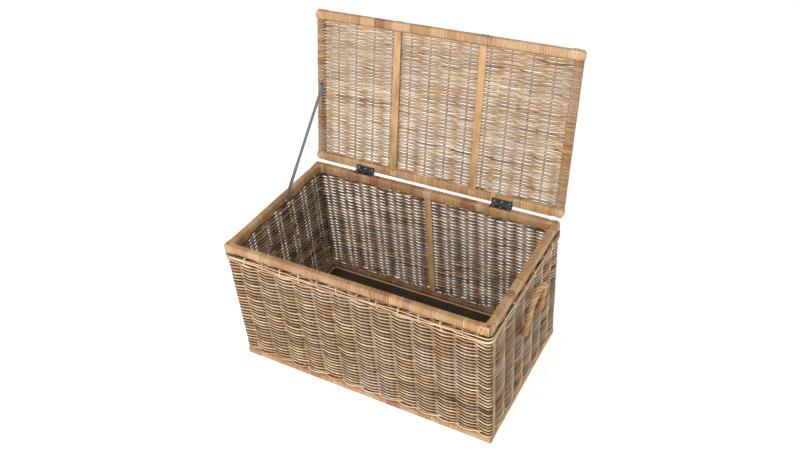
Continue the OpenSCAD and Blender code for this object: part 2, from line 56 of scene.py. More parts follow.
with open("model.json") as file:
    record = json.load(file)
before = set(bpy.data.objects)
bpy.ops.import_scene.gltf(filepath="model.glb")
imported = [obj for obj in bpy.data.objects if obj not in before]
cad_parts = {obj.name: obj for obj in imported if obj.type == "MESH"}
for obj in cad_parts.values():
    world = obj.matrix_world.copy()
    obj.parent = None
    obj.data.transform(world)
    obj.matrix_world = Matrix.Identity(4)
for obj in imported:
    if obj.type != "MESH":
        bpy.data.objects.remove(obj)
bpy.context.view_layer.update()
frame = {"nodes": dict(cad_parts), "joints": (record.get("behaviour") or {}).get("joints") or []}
MM = 0.001


# ---- sizes read from the frame ----------------------------------------------


def joint(name):
    return next(j for j in frame["joints"] if j["name"] == name)


LID_PIN = Vector(joint("lid_hinge")["pos_m"])
LID_OPEN = math.radians(joint("lid_hinge")["range_deg"][1])
OPEN_LID = (
    Matrix.Translation(LID_PIN) @ Matrix.Rotation(-LID_OPEN, 4, "X") @ Matrix.Translation(-LID_PIN)
)


def closed_box(node):
    """Lowest and highest corner of a lid node with the lid closed."""
    shut = OPEN_LID.inverted()
    places = np.array([shut @ v.co for v in frame["nodes"][node].data.vertices])
    return Vector(places.min(0)), Vector(places.max(0))


RIM_LOW, RIM_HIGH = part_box("rim_corner_bindings")
HALF_W, HALF_D, RIM_TOP = RIM_HIGH
RIM_FOOT = RIM_LOW.z
RIM_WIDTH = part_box("rim_wrap_left")[1].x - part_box("rim_wrap_left")[0].x
CORNER = HALF_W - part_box("rim_wrap_front")[1].x
BASE_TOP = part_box("base_wraps")[1].z
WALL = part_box("weave_front")[1].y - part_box("weave_front")[0].y
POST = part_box("corner_posts")[1]
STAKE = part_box("stakes_front")[1].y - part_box("stakes_front")[0].y


# ---- settings -----------------------------------------------------------------


def length(name, text, default, low=0.0001, high=1.0):
    return FloatProperty(
        name=name, description=text, default=default, min=low, max=high, unit="LENGTH", precision=4
    )


def colour(name, text, default):
    return FloatVectorProperty(
        name=name, description=text, default=default, size=3, min=0, max=1, subtype="COLOR"
    )


class TrunkWeave(bpy.types.PropertyGroup):
    row_pitch: length("Row pitch", "Height of one row of weavers in the walls", 5.7 * MM)
    strand: length("Weaver diameter", "Diameter of a weaver in the walls", 5.6 * MM)
    lid_pitch: length("Lid row pitch", "Spacing of the weavers in the lid", 4.9 * MM)
    lid_strand: length("Lid weaver diameter", "Diameter of a weaver in the lid", 5.4 * MM)
    wander: length("Wander", "How far a row strays from level", 2.0 * MM, 0)
    long_stakes: IntProperty(name="Long stakes", description="Stakes in a long wall", default=12, min=2)
    short_stakes: IntProperty(name="Short stakes", description="Stakes in an end wall", default=6, min=2)
    pale: colour("Pale weaver", "Colour of the palest weavers", (0.80, 0.59, 0.375))
    tan: colour("Tan weaver", "Colour of most weavers", (0.46, 0.275, 0.135))
    deep: colour("Dark weaver", "Colour of the darkest weavers", (0.11, 0.058, 0.026))
    grey: colour("Weathered", "Colour of weathered bark", (0.50, 0.385, 0.29))


class TrunkCane(bpy.types.PropertyGroup):
    turn: length("Turn width", "Width of one turn of split cane", 4.4 * MM)
    groove: FloatProperty(name="Groove", description="Depth between turns", default=0.07, min=0, max=0.2)
    pale: colour("Pale cane", "Colour of the palest turns", (0.655, 0.41, 0.20))
    tan: colour("Tan cane", "Colour of most turns", (0.485, 0.265, 0.11))
    deep: colour("Red-brown cane", "Colour of the darkest turns", (0.31, 0.13, 0.05))
    sheen: colour("Worn cane", "Colour where the cane's skin is worn", (0.60, 0.43, 0.30))


class TrunkFittings(bpy.types.PropertyGroup):
    rope_lead: length("Rope lead", "Length of one twist of the rope", 38 * MM)
    rope: colour("Rope", "Colour of the handle rope", (0.56, 0.335, 0.145))
    rope_deep: colour("Rope shade", "Colour of the rope between its fibres", (0.17, 0.09, 0.04))
    strap: colour("Strap", "Colour of the lid strap", (0.15, 0.155, 0.16))
    leaf: colour("Hinge", "Colour of the hinge leaves", (0.012, 0.012, 0.013))
    board: colour("Base board", "Colour of the base board", (0.050, 0.033, 0.019))


class TrunkStage(bpy.types.PropertyGroup):
    floor: colour("Floor", "Colour of the studio floor", (0.93, 0.93, 0.93))
    key: FloatProperty(name="Key light", description="Power of the key light in watts", default=102, min=0)
    fill: FloatProperty(name="Fill light", description="Power of the fill light in watts", default=20, min=0)
    sky: FloatProperty(name="Studio light", description="Strength of the even light", default=0.15, min=0)
    glow: FloatProperty(name="Floor glow", description="Light given off by the floor", default=0.56, min=0)
    lens: FloatProperty(name="Lens", description="Focal length of the camera in mm", default=36.93, min=10)
    around: FloatProperty(name="Bearing", description="Camera bearing from the front", default=31.68)
    above: FloatProperty(name="Height angle", description="Camera angle above level", default=36.39)
    roll: FloatProperty(name="Roll", description="Camera roll in degrees", default=-4.71)
    far: length("Distance", "Distance of the camera from its target", 2.215, 0.1, 20)


# ---- materials ------------------------------------------------------------------


def place(tree, kind, at, **values):
    """A shader node of a kind at a spot on the sheet, with its properties set."""
    node = tree.nodes.new(kind)
    node.location = at
    for key, value in values.items():
        setattr(node, key, value)
    return node


def set_inputs(node, **values):
    for key, value in values.items():
        node.inputs[key.replace("_", " ")].default_value = value
    return node


def math_node(tree, at, operation, a, b=0.5, c=None):
    node = place(tree, "ShaderNodeMath", at, operation=operation)
    for socket, value in zip(node.inputs, (a, b, c)):
        if value is None:
            continue
        if isinstance(value, bpy.types.NodeSocket):
            tree.links.new(value, socket)
        else:
            socket.default_value = value
    return node.outputs[0]


def mix_colour(tree, at, factor, a, b, blend="MIX"):
    node = place(tree, "ShaderNodeMix", at, data_type="RGBA", blend_type=blend, clamp_factor=True)
    for socket, value in ((node.inputs[0], factor), (node.inputs[6], a), (node.inputs[7], b)):
        if isinstance(value, bpy.types.NodeSocket):
            tree.links.new(value, socket)
        else:
            socket.default_value = value
    return node.outputs[2]


def remap(tree, at, value, low, high, to_low=0.0, to_high=1.0, smooth=True):
    node = place(tree, "ShaderNodeMapRange", at, interpolation_type="SMOOTHSTEP" if smooth else "LINEAR")
    tree.links.new(value, node.inputs[0])
    for socket, number in zip(node.inputs[1:5], (low, high, to_low, to_high)):
        socket.default_value = number
    return node.outputs[0]


def noise_at(tree, at, vector, scale, detail=3.0, roughness=0.55):
    node = place(tree, "ShaderNodeTexNoise", at)
    set_inputs(node, Scale=scale, Detail=detail, Roughness=roughness)
    tree.links.new(vector, node.inputs["Vector"])
    return node.outputs["Fac"]


def new_group(name, inputs, outputs):
    group = bpy.data.node_groups.new(name, "ShaderNodeTree")
    for label, kind, default in inputs:
        socket = group.interface.new_socket(label, in_out="INPUT", socket_type=kind)
        socket.default_value = default
    for label, kind in outputs:
        group.interface.new_socket(label, in_out="OUTPUT", socket_type=kind)
    entry = place(group, "NodeGroupInput", (-1200, 0))
    leave = place(group, "NodeGroupOutput", (900, 0))
    return group, entry.outputs, leave.inputs


COLOUR, NUMBER, VECTOR = "NodeSocketColor", "NodeSocketFloat", "NodeSocketVector"


def make_strand_group():
    """Bark and streaks that run along a strand, from its tone and its length, with painted shade on the sides that face
    a neighbouring strand.
    """
    group, given, out = new_group(
        "strand bark",
        [("Pale", COLOUR, (1, 1, 1, 1)), ("Tan", COLOUR, (0.5, 0.5, 0.5, 1)),
         ("Deep", COLOUR, (0, 0, 0, 1)), ("Grey", COLOUR, (0.4, 0.4, 0.4, 1)),
         ("Weathering", NUMBER, 0.5), ("Joint spacing", NUMBER, 0.3)],
        [("Colour", COLOUR), ("Roughness", NUMBER), ("Height", NUMBER)],
    )
    tone = place(group, "ShaderNodeAttribute", (-1200, 300), attribute_name="tone").outputs["Fac"]
    along = place(group, "ShaderNodeAttribute", (-1200, 480), attribute_name="along").outputs["Fac"]
    spot = place(group, "ShaderNodeTexCoord", (-1200, -300)).outputs["Object"]
    parts = place(group, "ShaderNodeSeparateXYZ", (-1020, -300))
    group.links.new(spot, parts.inputs[0])
    grain = place(group, "ShaderNodeCombineXYZ", (-760, 200))
    group.links.new(math_node(group, (-940, 420), "MULTIPLY", along, 45.0), grain.inputs[0])
    group.links.new(math_node(group, (-940, 260), "MULTIPLY", parts.outputs[2], 620.0), grain.inputs[1])
    group.links.new(math_node(group, (-940, 100), "MULTIPLY_ADD", tone, 37.0, parts.outputs[1]), grain.inputs[2])
    streak = noise_at(group, (-560, 200), grain.outputs[0], 1.0, 3.0, 0.6)
    patch = noise_at(group, (-560, -260), spot, 11.0, 4.0, 0.6)
    drift = math_node(group, (-360, 60), "MULTIPLY_ADD", streak, 0.34, -0.17)
    toned = math_node(group, (-200, 160), "ADD", tone, drift)
    base = mix_colour(group, (0, 200), remap(group, (-160, 360), toned, 0.05, 0.5), given["Deep"], given["Tan"])
    base = mix_colour(group, (180, 200), remap(group, (0, 380), toned, 0.5, 0.98), base, given["Pale"])
    worn = math_node(group, (-180, -240), "MULTIPLY", remap(group, (-360, -300), patch, 0.42, 0.66), given["Weathering"])
    base = mix_colour(group, (360, 120), worn, base, given["Grey"])
    rings = math_node(group, (-560, 620), "DIVIDE", along, given["Joint spacing"])
    rings = math_node(group, (-380, 620), "MULTIPLY_ADD", tone, 3.7, rings)
    rings = math_node(group, (-200, 620), "FRACT", rings)
    ring = remap(group, (-20, 620), rings, 0.012, 0.0)
    base = mix_colour(group, (540, 120), math_node(group, (360, 420), "MULTIPLY", ring, 0.6), base, given["Deep"])
    # painted shade: where a strand faces its neighbours (groove attribute) its colour is darkened towards a near-black
    # copy of the deep colour
    groove = place(group, "ShaderNodeAttribute", (-1200, 800), attribute_name="groove").outputs["Fac"]
    speck_dirt_and_groove_shade = remap(group, (540, 420), groove, 0.58, 0.96, 0.0, 0.95)
    painted_shade_colour = mix_colour(group, (540, 620), 0.6, given["Deep"], (0.01, 0.006, 0.003, 1))
    base = mix_colour(group, (720, 120), speck_dirt_and_groove_shade, base, painted_shade_colour)
    group.links.new(base, out["Colour"])
    group.links.new(remap(group, (360, -160), streak, 0.2, 0.8, 0.62, 0.42, False), out["Roughness"])
    group.links.new(math_node(group, (360, -340), "MULTIPLY_ADD", ring, 0.8, streak), out["Height"])
    return group


def make_cane_group():
    """Split cane in flat turns, with fibres across the rail, a worn skin, dark specks and painted shade in the joints
    between turns.
    """
    group, given, out = new_group(
        "split cane",
        [("Fibre", VECTOR, (0, 0, 0)), ("Pale", COLOUR, (1, 1, 1, 1)), ("Tan", COLOUR, (0.5, 0.5, 0.5, 1)),
         ("Deep", COLOUR, (0, 0, 0, 1)), ("Worn", COLOUR, (0.7, 0.6, 0.5, 1)), ("Wear", NUMBER, 0.6),
         ("Tone", NUMBER, 0.0)],
        [("Colour", COLOUR), ("Roughness", NUMBER), ("Height", NUMBER)],
    )
    tone = place(group, "ShaderNodeAttribute", (-1200, 300), attribute_name="tone").outputs["Fac"]
    spot = place(group, "ShaderNodeTexCoord", (-1200, -300)).outputs["Object"]
    fibre = noise_at(group, (-800, 200), given["Fibre"], 1.0, 4.0, 0.65)
    cloud = noise_at(group, (-800, -240), spot, 16.0, 3.0, 0.6)
    speck = noise_at(group, (-800, -460), spot, 240.0, 2.0, 0.5)
    toned = math_node(group, (-560, 160), "MULTIPLY_ADD", fibre, 0.5, -0.25)
    toned = math_node(group, (-400, 160), "ADD", toned, tone)
    toned = math_node(group, (-400, 20), "ADD", toned, given["Tone"])
    base = mix_colour(group, (-60, 200), remap(group, (-240, 360), toned, 0.02, 0.45), given["Deep"], given["Tan"])
    base = mix_colour(group, (120, 200), remap(group, (-60, 380), toned, 0.5, 0.95), base, given["Pale"])
    worn = math_node(group, (-400, -200), "MULTIPLY", remap(group, (-600, -240), cloud, 0.48, 0.7), given["Wear"])
    base = mix_colour(group, (300, 140), worn, base, given["Worn"])
    speck_dirt_and_groove_shade = remap(group, (120, -420), speck, 0.66, 0.74, 0.0, 0.35)
    base = mix_colour(group, (480, 140), speck_dirt_and_groove_shade, base, given["Deep"])
    # painted shade in the joints between turns: faces with a negative tone are darkened towards a near-black copy of
    # the deep colour
    joint = remap(group, (480, 420), tone, -0.2, -1.0, 0.6, 1.0)
    joint = math_node(group, (640, 420), "MULTIPLY", joint, math_node(group, (480, 600), "LESS_THAN", tone, 0.0))
    painted_shade_colour = mix_colour(group, (480, 760), 0.5, given["Deep"], (0.01, 0.006, 0.003, 1))
    base = mix_colour(group, (800, 140), joint, base, painted_shade_colour)
    group.links.new(base, out["Colour"])
    group.links.new(remap(group, (300, -160), cloud, 0.3, 0.7, 0.5, 0.34, False), out["Roughness"])
    group.links.new(fibre, out["Height"])
    return group


GROUPS = {}
FINISHES = {}


def group_named(name):
    if name not in GROUPS:
        GROUPS[name] = {"strand": make_strand_group, "cane": make_cane_group}[name]()
    return GROUPS[name]


def rgba(values):
    return (values[0], values[1], values[2], 1.0)


def new_finish(name, **settings):
    """A material with a Principled surface; returns it with its node tree and its shader."""
    material = bpy.data.materials.new(name)
    material.use_nodes = True
    shader = material.node_tree.nodes["Principled BSDF"]
    for key, value in settings.items():
        shader.inputs[key.replace("_", " ")].default_value = value
    FINISHES[name] = material
    return material, material.node_tree, shader


def join_bump(tree, shader, height, strength, distance):
    bump = place(tree, "ShaderNodeBump", (-180, -320))
    set_inputs(bump, Strength=strength, Distance=distance)
    tree.links.new(height, bump.inputs["Height"])
    tree.links.new(bump.outputs[0], shader.inputs["Normal"])


def strand_finish(name, pale, tan, deep, grey, weathering, joint_spacing=0.27):
    if name in FINISHES:
        return FINISHES[name]
    material, tree, shader = new_finish(name, Specular_IOR_Level=0.35)
    bark = place(tree, "ShaderNodeGroup", (-420, 100), node_tree=group_named("strand"))
    set_inputs(bark, Pale=rgba(pale), Tan=rgba(tan), Deep=rgba(deep), Grey=rgba(grey),
               Weathering=weathering, Joint_spacing=joint_spacing)
    tree.links.new(bark.outputs["Colour"], shader.inputs["Base Color"])
    tree.links.new(bark.outputs["Roughness"], shader.inputs["Roughness"])
    join_bump(tree, shader, bark.outputs["Height"], 0.35, 0.6 * MM)
    return material


def cane_finish(name, run, shade=1.0, tone=0.0):
    """Wrapped cane on a rail that runs along x or along y."""
    if name in FINISHES:
        return FINISHES[name]
    cane = bpy.context.scene.trunk_cane
    material, tree, shader = new_finish(name, Specular_IOR_Level=0.45, Coat_Weight=0.06, Coat_Roughness=0.35)
    spot = place(tree, "ShaderNodeTexCoord", (-900, 0)).outputs["Object"]
    turned = place(tree, "ShaderNodeMapping", (-720, 0), vector_type="POINT")
    turned.inputs["Scale"].default_value = (950, 70, 70) if run == "x" else (70, 950, 70)
    tree.links.new(spot, turned.inputs["Vector"])
    skin = place(tree, "ShaderNodeGroup", (-480, 100), node_tree=group_named("cane"))
    tree.links.new(turned.outputs[0], skin.inputs["Fibre"])
    set_inputs(skin, Pale=rgba(Vector(cane.pale) * shade), Tan=rgba(Vector(cane.tan) * shade),
               Deep=rgba(Vector(cane.deep) * shade), Worn=rgba(Vector(cane.sheen) * shade), Wear=0.55, Tone=tone)
    tree.links.new(skin.outputs["Colour"], shader.inputs["Base Color"])
    tree.links.new(skin.outputs["Roughness"], shader.inputs["Roughness"])
    join_bump(tree, shader, skin.outputs["Height"], 0.3, 0.3 * MM)
    return material


def grain_finish(name, light, dark, stretch, scale, roughness, bump=0.3, specular=0.3, metallic=0.0):
    """Solid stock with a grain drawn out along one axis of the object."""
    if name in FINISHES:
        return FINISHES[name]
    material, tree, shader = new_finish(name, Specular_IOR_Level=specular, Metallic=metallic)
    spot = place(tree, "ShaderNodeTexCoord", (-1100, 0)).outputs["Object"]
    turned = place(tree, "ShaderNodeMapping", (-920, 0))
    turned.inputs["Scale"].default_value = stretch
    tree.links.new(spot, turned.inputs["Vector"])
    fine = noise_at(tree, (-720, 100), turned.outputs[0], scale, 5.0, 0.6)
    broad = noise_at(tree, (-720, -200), spot, 14.0, 2.0, 0.5)
    mask = math_node(tree, (-520, 60), "MULTIPLY_ADD", broad, 0.5, math_node(tree, (-700, 300), "MULTIPLY", fine, 0.75))
    tint = mix_colour(tree, (-300, 60), remap(tree, (-360, 260), mask, 0.38, 0.82), rgba(dark), rgba(light))
    tree.links.new(tint, shader.inputs["Base Color"])
    rough = remap(tree, (-360, -200), fine, 0.3, 0.7, roughness * 1.15, roughness * 0.85, False)
    tree.links.new(rough, shader.inputs["Roughness"])
    join_bump(tree, shader, fine, bump, 0.3 * MM)
    return material


def weaver_finish():
    weave = bpy.context.scene.trunk_weave
    return strand_finish("weathered weavers", weave.pale, weave.tan, weave.deep, weave.grey, 0.5)


def lid_weaver_finish():
    weave = bpy.context.scene.trunk_weave
    return strand_finish("lid weavers", Vector(weave.pale) * 0.95, Vector(weave.tan) * 1.05,
                         Vector(weave.deep) * 1.1, Vector(weave.grey), 0.45)


def pole_finish():
    return grain_finish("peeled poles", (0.30, 0.19, 0.105), (0.13, 0.078, 0.042), (90, 90, 9), 1.0, 0.55)


def paint(node, material):
    mesh = frame["nodes"][node].data
    mesh.materials.clear()
    mesh.materials.append(material)


# ---- making meshes ------------------------------------------------------------------


def add_piece(name, mesh, body, material, replaces=(), smooth=True):
    piece = bpy.data.objects.new(name, mesh)
    bpy.context.scene.collection.objects.link(piece)
    mesh.materials.clear()
    mesh.materials.append(material)
    if smooth:
        mesh.polygons.foreach_set("use_smooth", [True] * len(mesh.polygons))
    if body:
        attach(piece, body)
    if replaces:
        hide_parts(*replaces)
    return piece


def strand_mesh(name, paths, radius, sides=8, closed=False, girths=None, tones=None, move=None, stacked=None):
    """Round strands along paths, with their tone and their length along as attributes.

    Strands stacked along an axis get a groove attribute, 1 on the sides that face a neighbour, where the bark group
    paints shade.
    """
    line = bpy.data.curves.new(name, "CURVE")
    line.dimensions = "3D"
    line.bevel_depth = radius
    line.bevel_resolution = sides // 2 - 2
    line.use_fill_caps = False
    for number, path in enumerate(paths):
        spline = line.splines.new("POLY")
        spline.points.add(len(path) - 1)
        spots = np.ones((len(path), 4))
        spots[:, :3] = path
        spline.points.foreach_set("co", spots.ravel())
        if girths is not None:
            spline.points.foreach_set("radius", np.broadcast_to(girths[number], len(path)).astype(float))
        spline.use_cyclic_u = closed
    holder = bpy.data.objects.new(name, line)
    bpy.context.scene.collection.objects.link(holder)
    shaped = holder.evaluated_get(bpy.context.evaluated_depsgraph_get())
    mesh = bpy.data.meshes.new_from_object(shaped)
    bpy.data.objects.remove(holder)
    bpy.data.curves.remove(line)
    if len(mesh.vertices) != sides * sum(len(p) for p in paths):
        raise RuntimeError(f"{name}: the strands don't have the sides they should")
    tone, along = [], []
    for number, path in enumerate(paths):
        steps = np.linalg.norm(np.diff(np.asarray(path, float), axis=0), axis=1)
        along.append(np.repeat(np.concatenate([[0], np.cumsum(steps)]), sides))
        value = 0.5 if tones is None else tones[number]
        tone.append(np.repeat(np.broadcast_to(value, len(path)), sides))
    centres = np.repeat(np.concatenate([np.asarray(p, float) for p in paths]), sides, axis=0)
    groove = np.zeros(len(centres))
    if stacked is not None:
        places = np.empty(len(centres) * 3)
        mesh.vertices.foreach_get("co", places)
        off = places.reshape(-1, 3) - centres
        groove = np.abs(off @ np.array(stacked, float)) / np.linalg.norm(off, axis=1)
    for label, values in (("tone", np.concatenate(tone)), ("along", np.concatenate(along)), ("groove", groove)):
        layer = mesh.attributes.new(label, "FLOAT", "POINT")
        layer.data.foreach_set("value", values.astype(np.float32))
    if not closed:
        bm = bmesh.new()
        bm.from_mesh(mesh)
        bmesh.ops.holes_fill(bm, edges=[e for e in bm.edges if e.is_boundary], sides=0)
        bm.to_mesh(mesh)
        bm.free()
    if move is not None:
        mesh.transform(move)
    mesh.update()
    return mesh


def finish_bmesh(bm, name, move=None):
    if move is not None:
        bmesh.ops.transform(bm, matrix=move, verts=bm.verts)
    mesh = bpy.data.meshes.new(name)
    bm.to_mesh(mesh)
    bm.free()
    return mesh


def section(bm, width, height, rounding, at, segments=3):
    """A rounded section across the x axis, as one face, ready to extrude."""
    made = bmesh.ops.create_grid(bm, x_segments=1, y_segments=1, size=0.5)["verts"]
    bmesh.ops.scale(bm, vec=(width, height, 1), verts=made)
    bmesh.ops.bevel(bm, geom=made, offset=rounding, offset_type="OFFSET", segments=segments,
                    profile=0.5, affect="VERTICES", material=-1, clamp_overlap=True)
    face = max(bm.faces, key=lambda f: f.index if f.index >= 0 else 10 ** 6)
    face = list(bm.faces)[-1]
    turn = Matrix.Translation(at) @ Matrix.Rotation(math.pi / 2, 4, "Z") @ Matrix.Rotation(math.pi / 2, 4, "X")
    bmesh.ops.transform(bm, matrix=turn, verts=face.verts)
    return face


def push(bm, face, step, grow, centre):
    """Extrudes the end face along x and scales it about the rail's centre line."""
    first_cap = len(bm.faces) == 1
    made = bmesh.ops.extrude_face_region(bm, geom=[face])["geom"]
    if not first_cap:
        bmesh.ops.delete(bm, geom=[face], context="FACES_ONLY")
    face = next(f for f in made if isinstance(f, bmesh.types.BMFace))
    bmesh.ops.translate(bm, vec=(step, 0, 0), verts=face.verts)
    middle = Matrix.Translation(Vector((0, -centre.y, -centre.z)))
    bmesh.ops.scale(bm, vec=(1, grow, grow), space=middle, verts=face.verts)
    return face


def wrapped_rail(x0, x1, width, height, rounding, seed, turn=None, swell=0.0, tint=0.5, patch=6):
    """A rail along x wound with split cane; each turn stands a little proud of its joints."""
    cane = bpy.context.scene.trunk_cane
    turn = turn or cane.turn
    rng = random.Random(seed)
    bm = bmesh.new()
    low = 1 - cane.groove
    face = section(bm, (width + 2 * swell) * low, (height + 2 * swell) * low, rounding * 0.95, (x0, 0, 0))
    start = face
    count = max(1, round((x1 - x0) / turn))
    widths = np.array([rng.uniform(0.75, 1.25) for _ in range(count)])
    widths *= (x1 - x0) / widths.sum()
    edges = x0 + np.cumsum(widths)
    centre = Vector((0, 0, 0))
    for w in widths:
        high = rng.uniform(0.985, 1.004)
        face = push(bm, face, 0.14 * w, high / low, centre)
        face = push(bm, face, 0.72 * w, 1.0, centre)
        face = push(bm, face, 0.14 * w, low / high, centre)
    layer = bm.faces.layers.float.new("tone")
    tones, value, left = [], tint, 0
    for _ in range(count):
        if left <= 0:
            value = min(1, max(0, tint + rng.gauss(0, 0.24)))
            left = rng.randint(2, patch * 2)
        left -= 1
        tones.append(min(1, max(0, value + rng.gauss(0, 0.1))))
    # joint faces get a negative tone, which the cane group paints as shade between the turns
    joints = [rng.uniform(-1.0, -0.2) for _ in range(count)]
    for f in bm.faces:
        x = f.calc_center_median().x
        turn_number = min(count - 1, bisect(edges, x))
        inside = (edges[turn_number] - x) / widths[turn_number]
        f[layer] = (joints if min(inside, 1 - inside) < 0.13 else tones)[turn_number]
        f.smooth = True
    bmesh.ops.recalc_face_normals(bm, faces=bm.faces)
    return bm


def join_bmeshes(parts):
    """One bmesh from several, keeping their face tones."""
    whole = bmesh.new()
    whole.faces.layers.float.new("tone")
    for bm, move in parts:
        mesh = finish_bmesh(bm, "part", move)
        whole.from_mesh(mesh)
        bpy.data.meshes.remove(mesh)
    return whole


def rail_place(side, along_y, x=0.0, y=0.0, z=0.0):
    """Where a rail drawn along x goes: its centre, turned a quarter if it runs along y."""
    turned = Matrix.Rotation(math.pi / 2, 4, "Z") if along_y else Matrix.Identity(4)
    return Matrix.Translation((x, y, z)) @ turned


# ---- weaving ---------------------------------------------------------------------------


WALLS = ("front", "right", "back", "left")


def wall_facts(wall):
    """Half length to the post, centre line, stake places, first stake's number, and its map."""
    weave = bpy.context.scene.trunk_weave
    long = wall in ("front", "back")
    count = weave.long_stakes if long else weave.short_stakes
    reach = (POST.x if long else POST.y) - STAKE * 0.0 - (POST.x - POST_CENTRE.x)
    line = (HALF_D if long else HALF_W) - WALL / 2
    run = (HALF_W if long else HALF_D) - WALL / 2
    stakes = [-run + (k + 1) * 2 * run / (count + 1) for k in range(count)]
    first = {"front": 0, "right": weave.long_stakes + 1,
             "back": weave.long_stakes + weave.short_stakes + 2,
             "left": 2 * weave.long_stakes + weave.short_stakes + 3}[wall]
    maps = {
        "front": lambda u, d: (u, -(line + d)),
        "right": lambda u, d: (line + d, u),
        "back": lambda u, d: (-u, line + d),
        "left": lambda u, d: (-(line + d), -u),
    }
    return reach, line, stakes, first, maps[wall], long


POST_R = 6 * MM
POST_CENTRE = Vector((POST.x - POST_R, POST.y - POST_R, 0))


def row_points(wall, row, z, bulge, lift=0.0, samples=6):
    """One weaver of a wall as points: in front of one stake, behind the next."""
    weave = bpy.context.scene.trunk_weave
    reach, line, stakes, first, to_plan, owns_corners = wall_facts(wall)
    knots = [-reach] + stakes + [reach]
    post_in = (POST_CENTRE.y if owns_corners else POST_CENTRE.x) - line
    round_post = POST_R + weave.strand / 2 + 0.1 * MM
    inside = round_post / math.sqrt(2)
    sides = [1 if (first + k + row) % 2 == 0 else -1 for k in range(len(knots))]
    last = len(knots) - 1
    local = []

    def corner(sign, out):
        if out:
            turns = [90, 67.5, 45, 22.5] if owns_corners else []
            made = [(sign * (reach + round_post * math.sin(math.radians(a))),
                     post_in + round_post * math.cos(math.radians(a)), 0.0) for a in turns]
            if owns_corners:
                made.insert(0, (sign * (reach + round_post), post_in - 1.5 * MM, 0.0))
            return made
        return [(sign * (reach - inside + 0.8 * MM), post_in - inside - 0.8 * MM, 0.0)] if owns_corners else []

    def stop(k):
        """Place along the wall and offset of a knot."""
        if 0 < k < last:
            return knots[k], sides[k] * bulge
        sign = -1 if k == 0 else 1
        if sides[k] > 0:
            return sign * reach, post_in + round_post
        return sign * (reach - inside), post_in - inside

    local += corner(-1, sides[0] > 0)
    for k in range(last):
        (u0, d0), (u1, d1) = stop(k), stop(k + 1)
        for i in range(samples):
            t = i / samples
            if k == 0 and sides[0] < 0:
                s = math.sin(math.pi * t / 2)
            elif k == last - 1 and sides[last] < 0:
                s = 1 - math.cos(math.pi * t / 2)
            else:
                s = (1 - math.cos(math.pi * t)) / 2
            local.append((u0 + (u1 - u0) * t, d0 + (d1 - d0) * s, sides[k] * lift * math.sin(math.pi * t)))
    local.append((*stop(last), 0.0))
    local += corner(1, sides[last] > 0)[::-1]

    low, high = BASE_TOP, RIM_FOOT
    points = []
    for u, d, up in local:
        x, y = to_plan(u, d)
        calm = min(1.0, (z - low) / 0.03, (high - z) / 0.03)
        stray = weave.wander * calm * (noise.noise(Vector((x * 7, y * 7, z * 9))) * 1.6)
        points.append((x, y, z + stray + up))
    return points


def splice_tones(points, row, seed, spread=0.17, middle=0.5, crest=None, shade=0.0):
    """A weaver's tone changes at its splices. In a wall it's paler where it stands out, partly wear and partly painted
    highlight; it has painted shade under the border canes and on the wall's inner side, deeper towards the bottom.
    """
    across = 1 if crest in ("front", "back") else 0
    line = (HALF_D if across else HALF_W) - WALL / 2
    rng = random.Random(seed * 1000 + row)
    step = rng.uniform(0.16, 0.5)
    start = rng.uniform(0, step)
    values, seen, travelled, previous = [], {}, 0.0, None
    for p in points:
        if previous is not None:
            travelled += math.dist(p, previous)
        previous = p
        piece = int((travelled + start) / step)
        if piece not in seen:
            seen[piece] = middle + rng.gauss(0, spread)
        drift = 0.3 * noise.noise(Vector((p[0] * 26, p[1] * 26, p[2] * 170)))
        if crest:
            outward = (abs(p[across]) - line) / (6 * MM)
            if outward > 0:
                # paler on the outer crest, partly wear and partly painted highlight, less the painted shade under the
                # border canes
                drift += (0.26 if across == 0 else 0.2) * outward - shade
            else:
                # painted shade on the inner side, deeper behind the stakes and towards the bottom
                drift += 0.1 * outward - 0.05 - 0.15 * (1 - p[2] / RIM_FOOT)
        values.append(min(1.0, max(0.0, seen[piece] + drift)))
    return values


class TRUNK_OT_weave_walls(bpy.types.Operator):
    """Weaves the four walls round their stakes, with a twined row at the foot"""

    bl_idname = "trunk.weave_walls"
    bl_label = "Weave walls"

    def execute(self, context):
        weave = context.scene.trunk_weave
        finish = weaver_finish()
        bulge = (STAKE + weave.strand) / 2 - 0.6 * MM
        twine_z = BASE_TOP + 5.4 * MM
        first_z = twine_z + 8.4 * MM
        rows = int((RIM_FOOT - weave.strand / 2 - first_z) / weave.row_pitch)
        pitch = (RIM_FOOT - weave.strand / 2 - 0.4 * MM - first_z) / rows
        for number, wall in enumerate(WALLS):
            paths, tones, girths = [], [], []
            spread = 0.17 if wall in ("front", "back") else 0.24
            for row in range(rows + 1):
                z = first_z + row * pitch
                path = row_points(wall, row, z, bulge)
                rng = random.Random(row * 7 + 3)
                slim = rng.uniform(0.9, 1.06)
                paths.append(path)
                girths.append([slim * (1 + 0.05 * noise.noise(Vector(p) * 30)) for p in path])
                # painted shade on the outer side of the top rows, under the border canes
                shade = 0.3 if z > RIM_FOOT - 16 * MM else 0
                tones.append(splice_tones(path, row, number + 11, spread, crest=wall, shade=shade))
            for row in (0, 1):
                paths.append(row_points(wall, row, twine_z, bulge, lift=2.6 * MM))
                girths.append(1.0)
                tones.append(splice_tones(paths[-1], row, number + 71, 0.15, 0.75))
            mesh = strand_mesh("woven_wall_" + wall, paths, weave.strand / 2, 8, girths=girths, tones=tones,
                               stacked=(0, 0, 1))
            add_piece("woven_wall_" + wall, mesh, "trunk", finish, ["weave_" + wall])
        return {"FINISHED"}


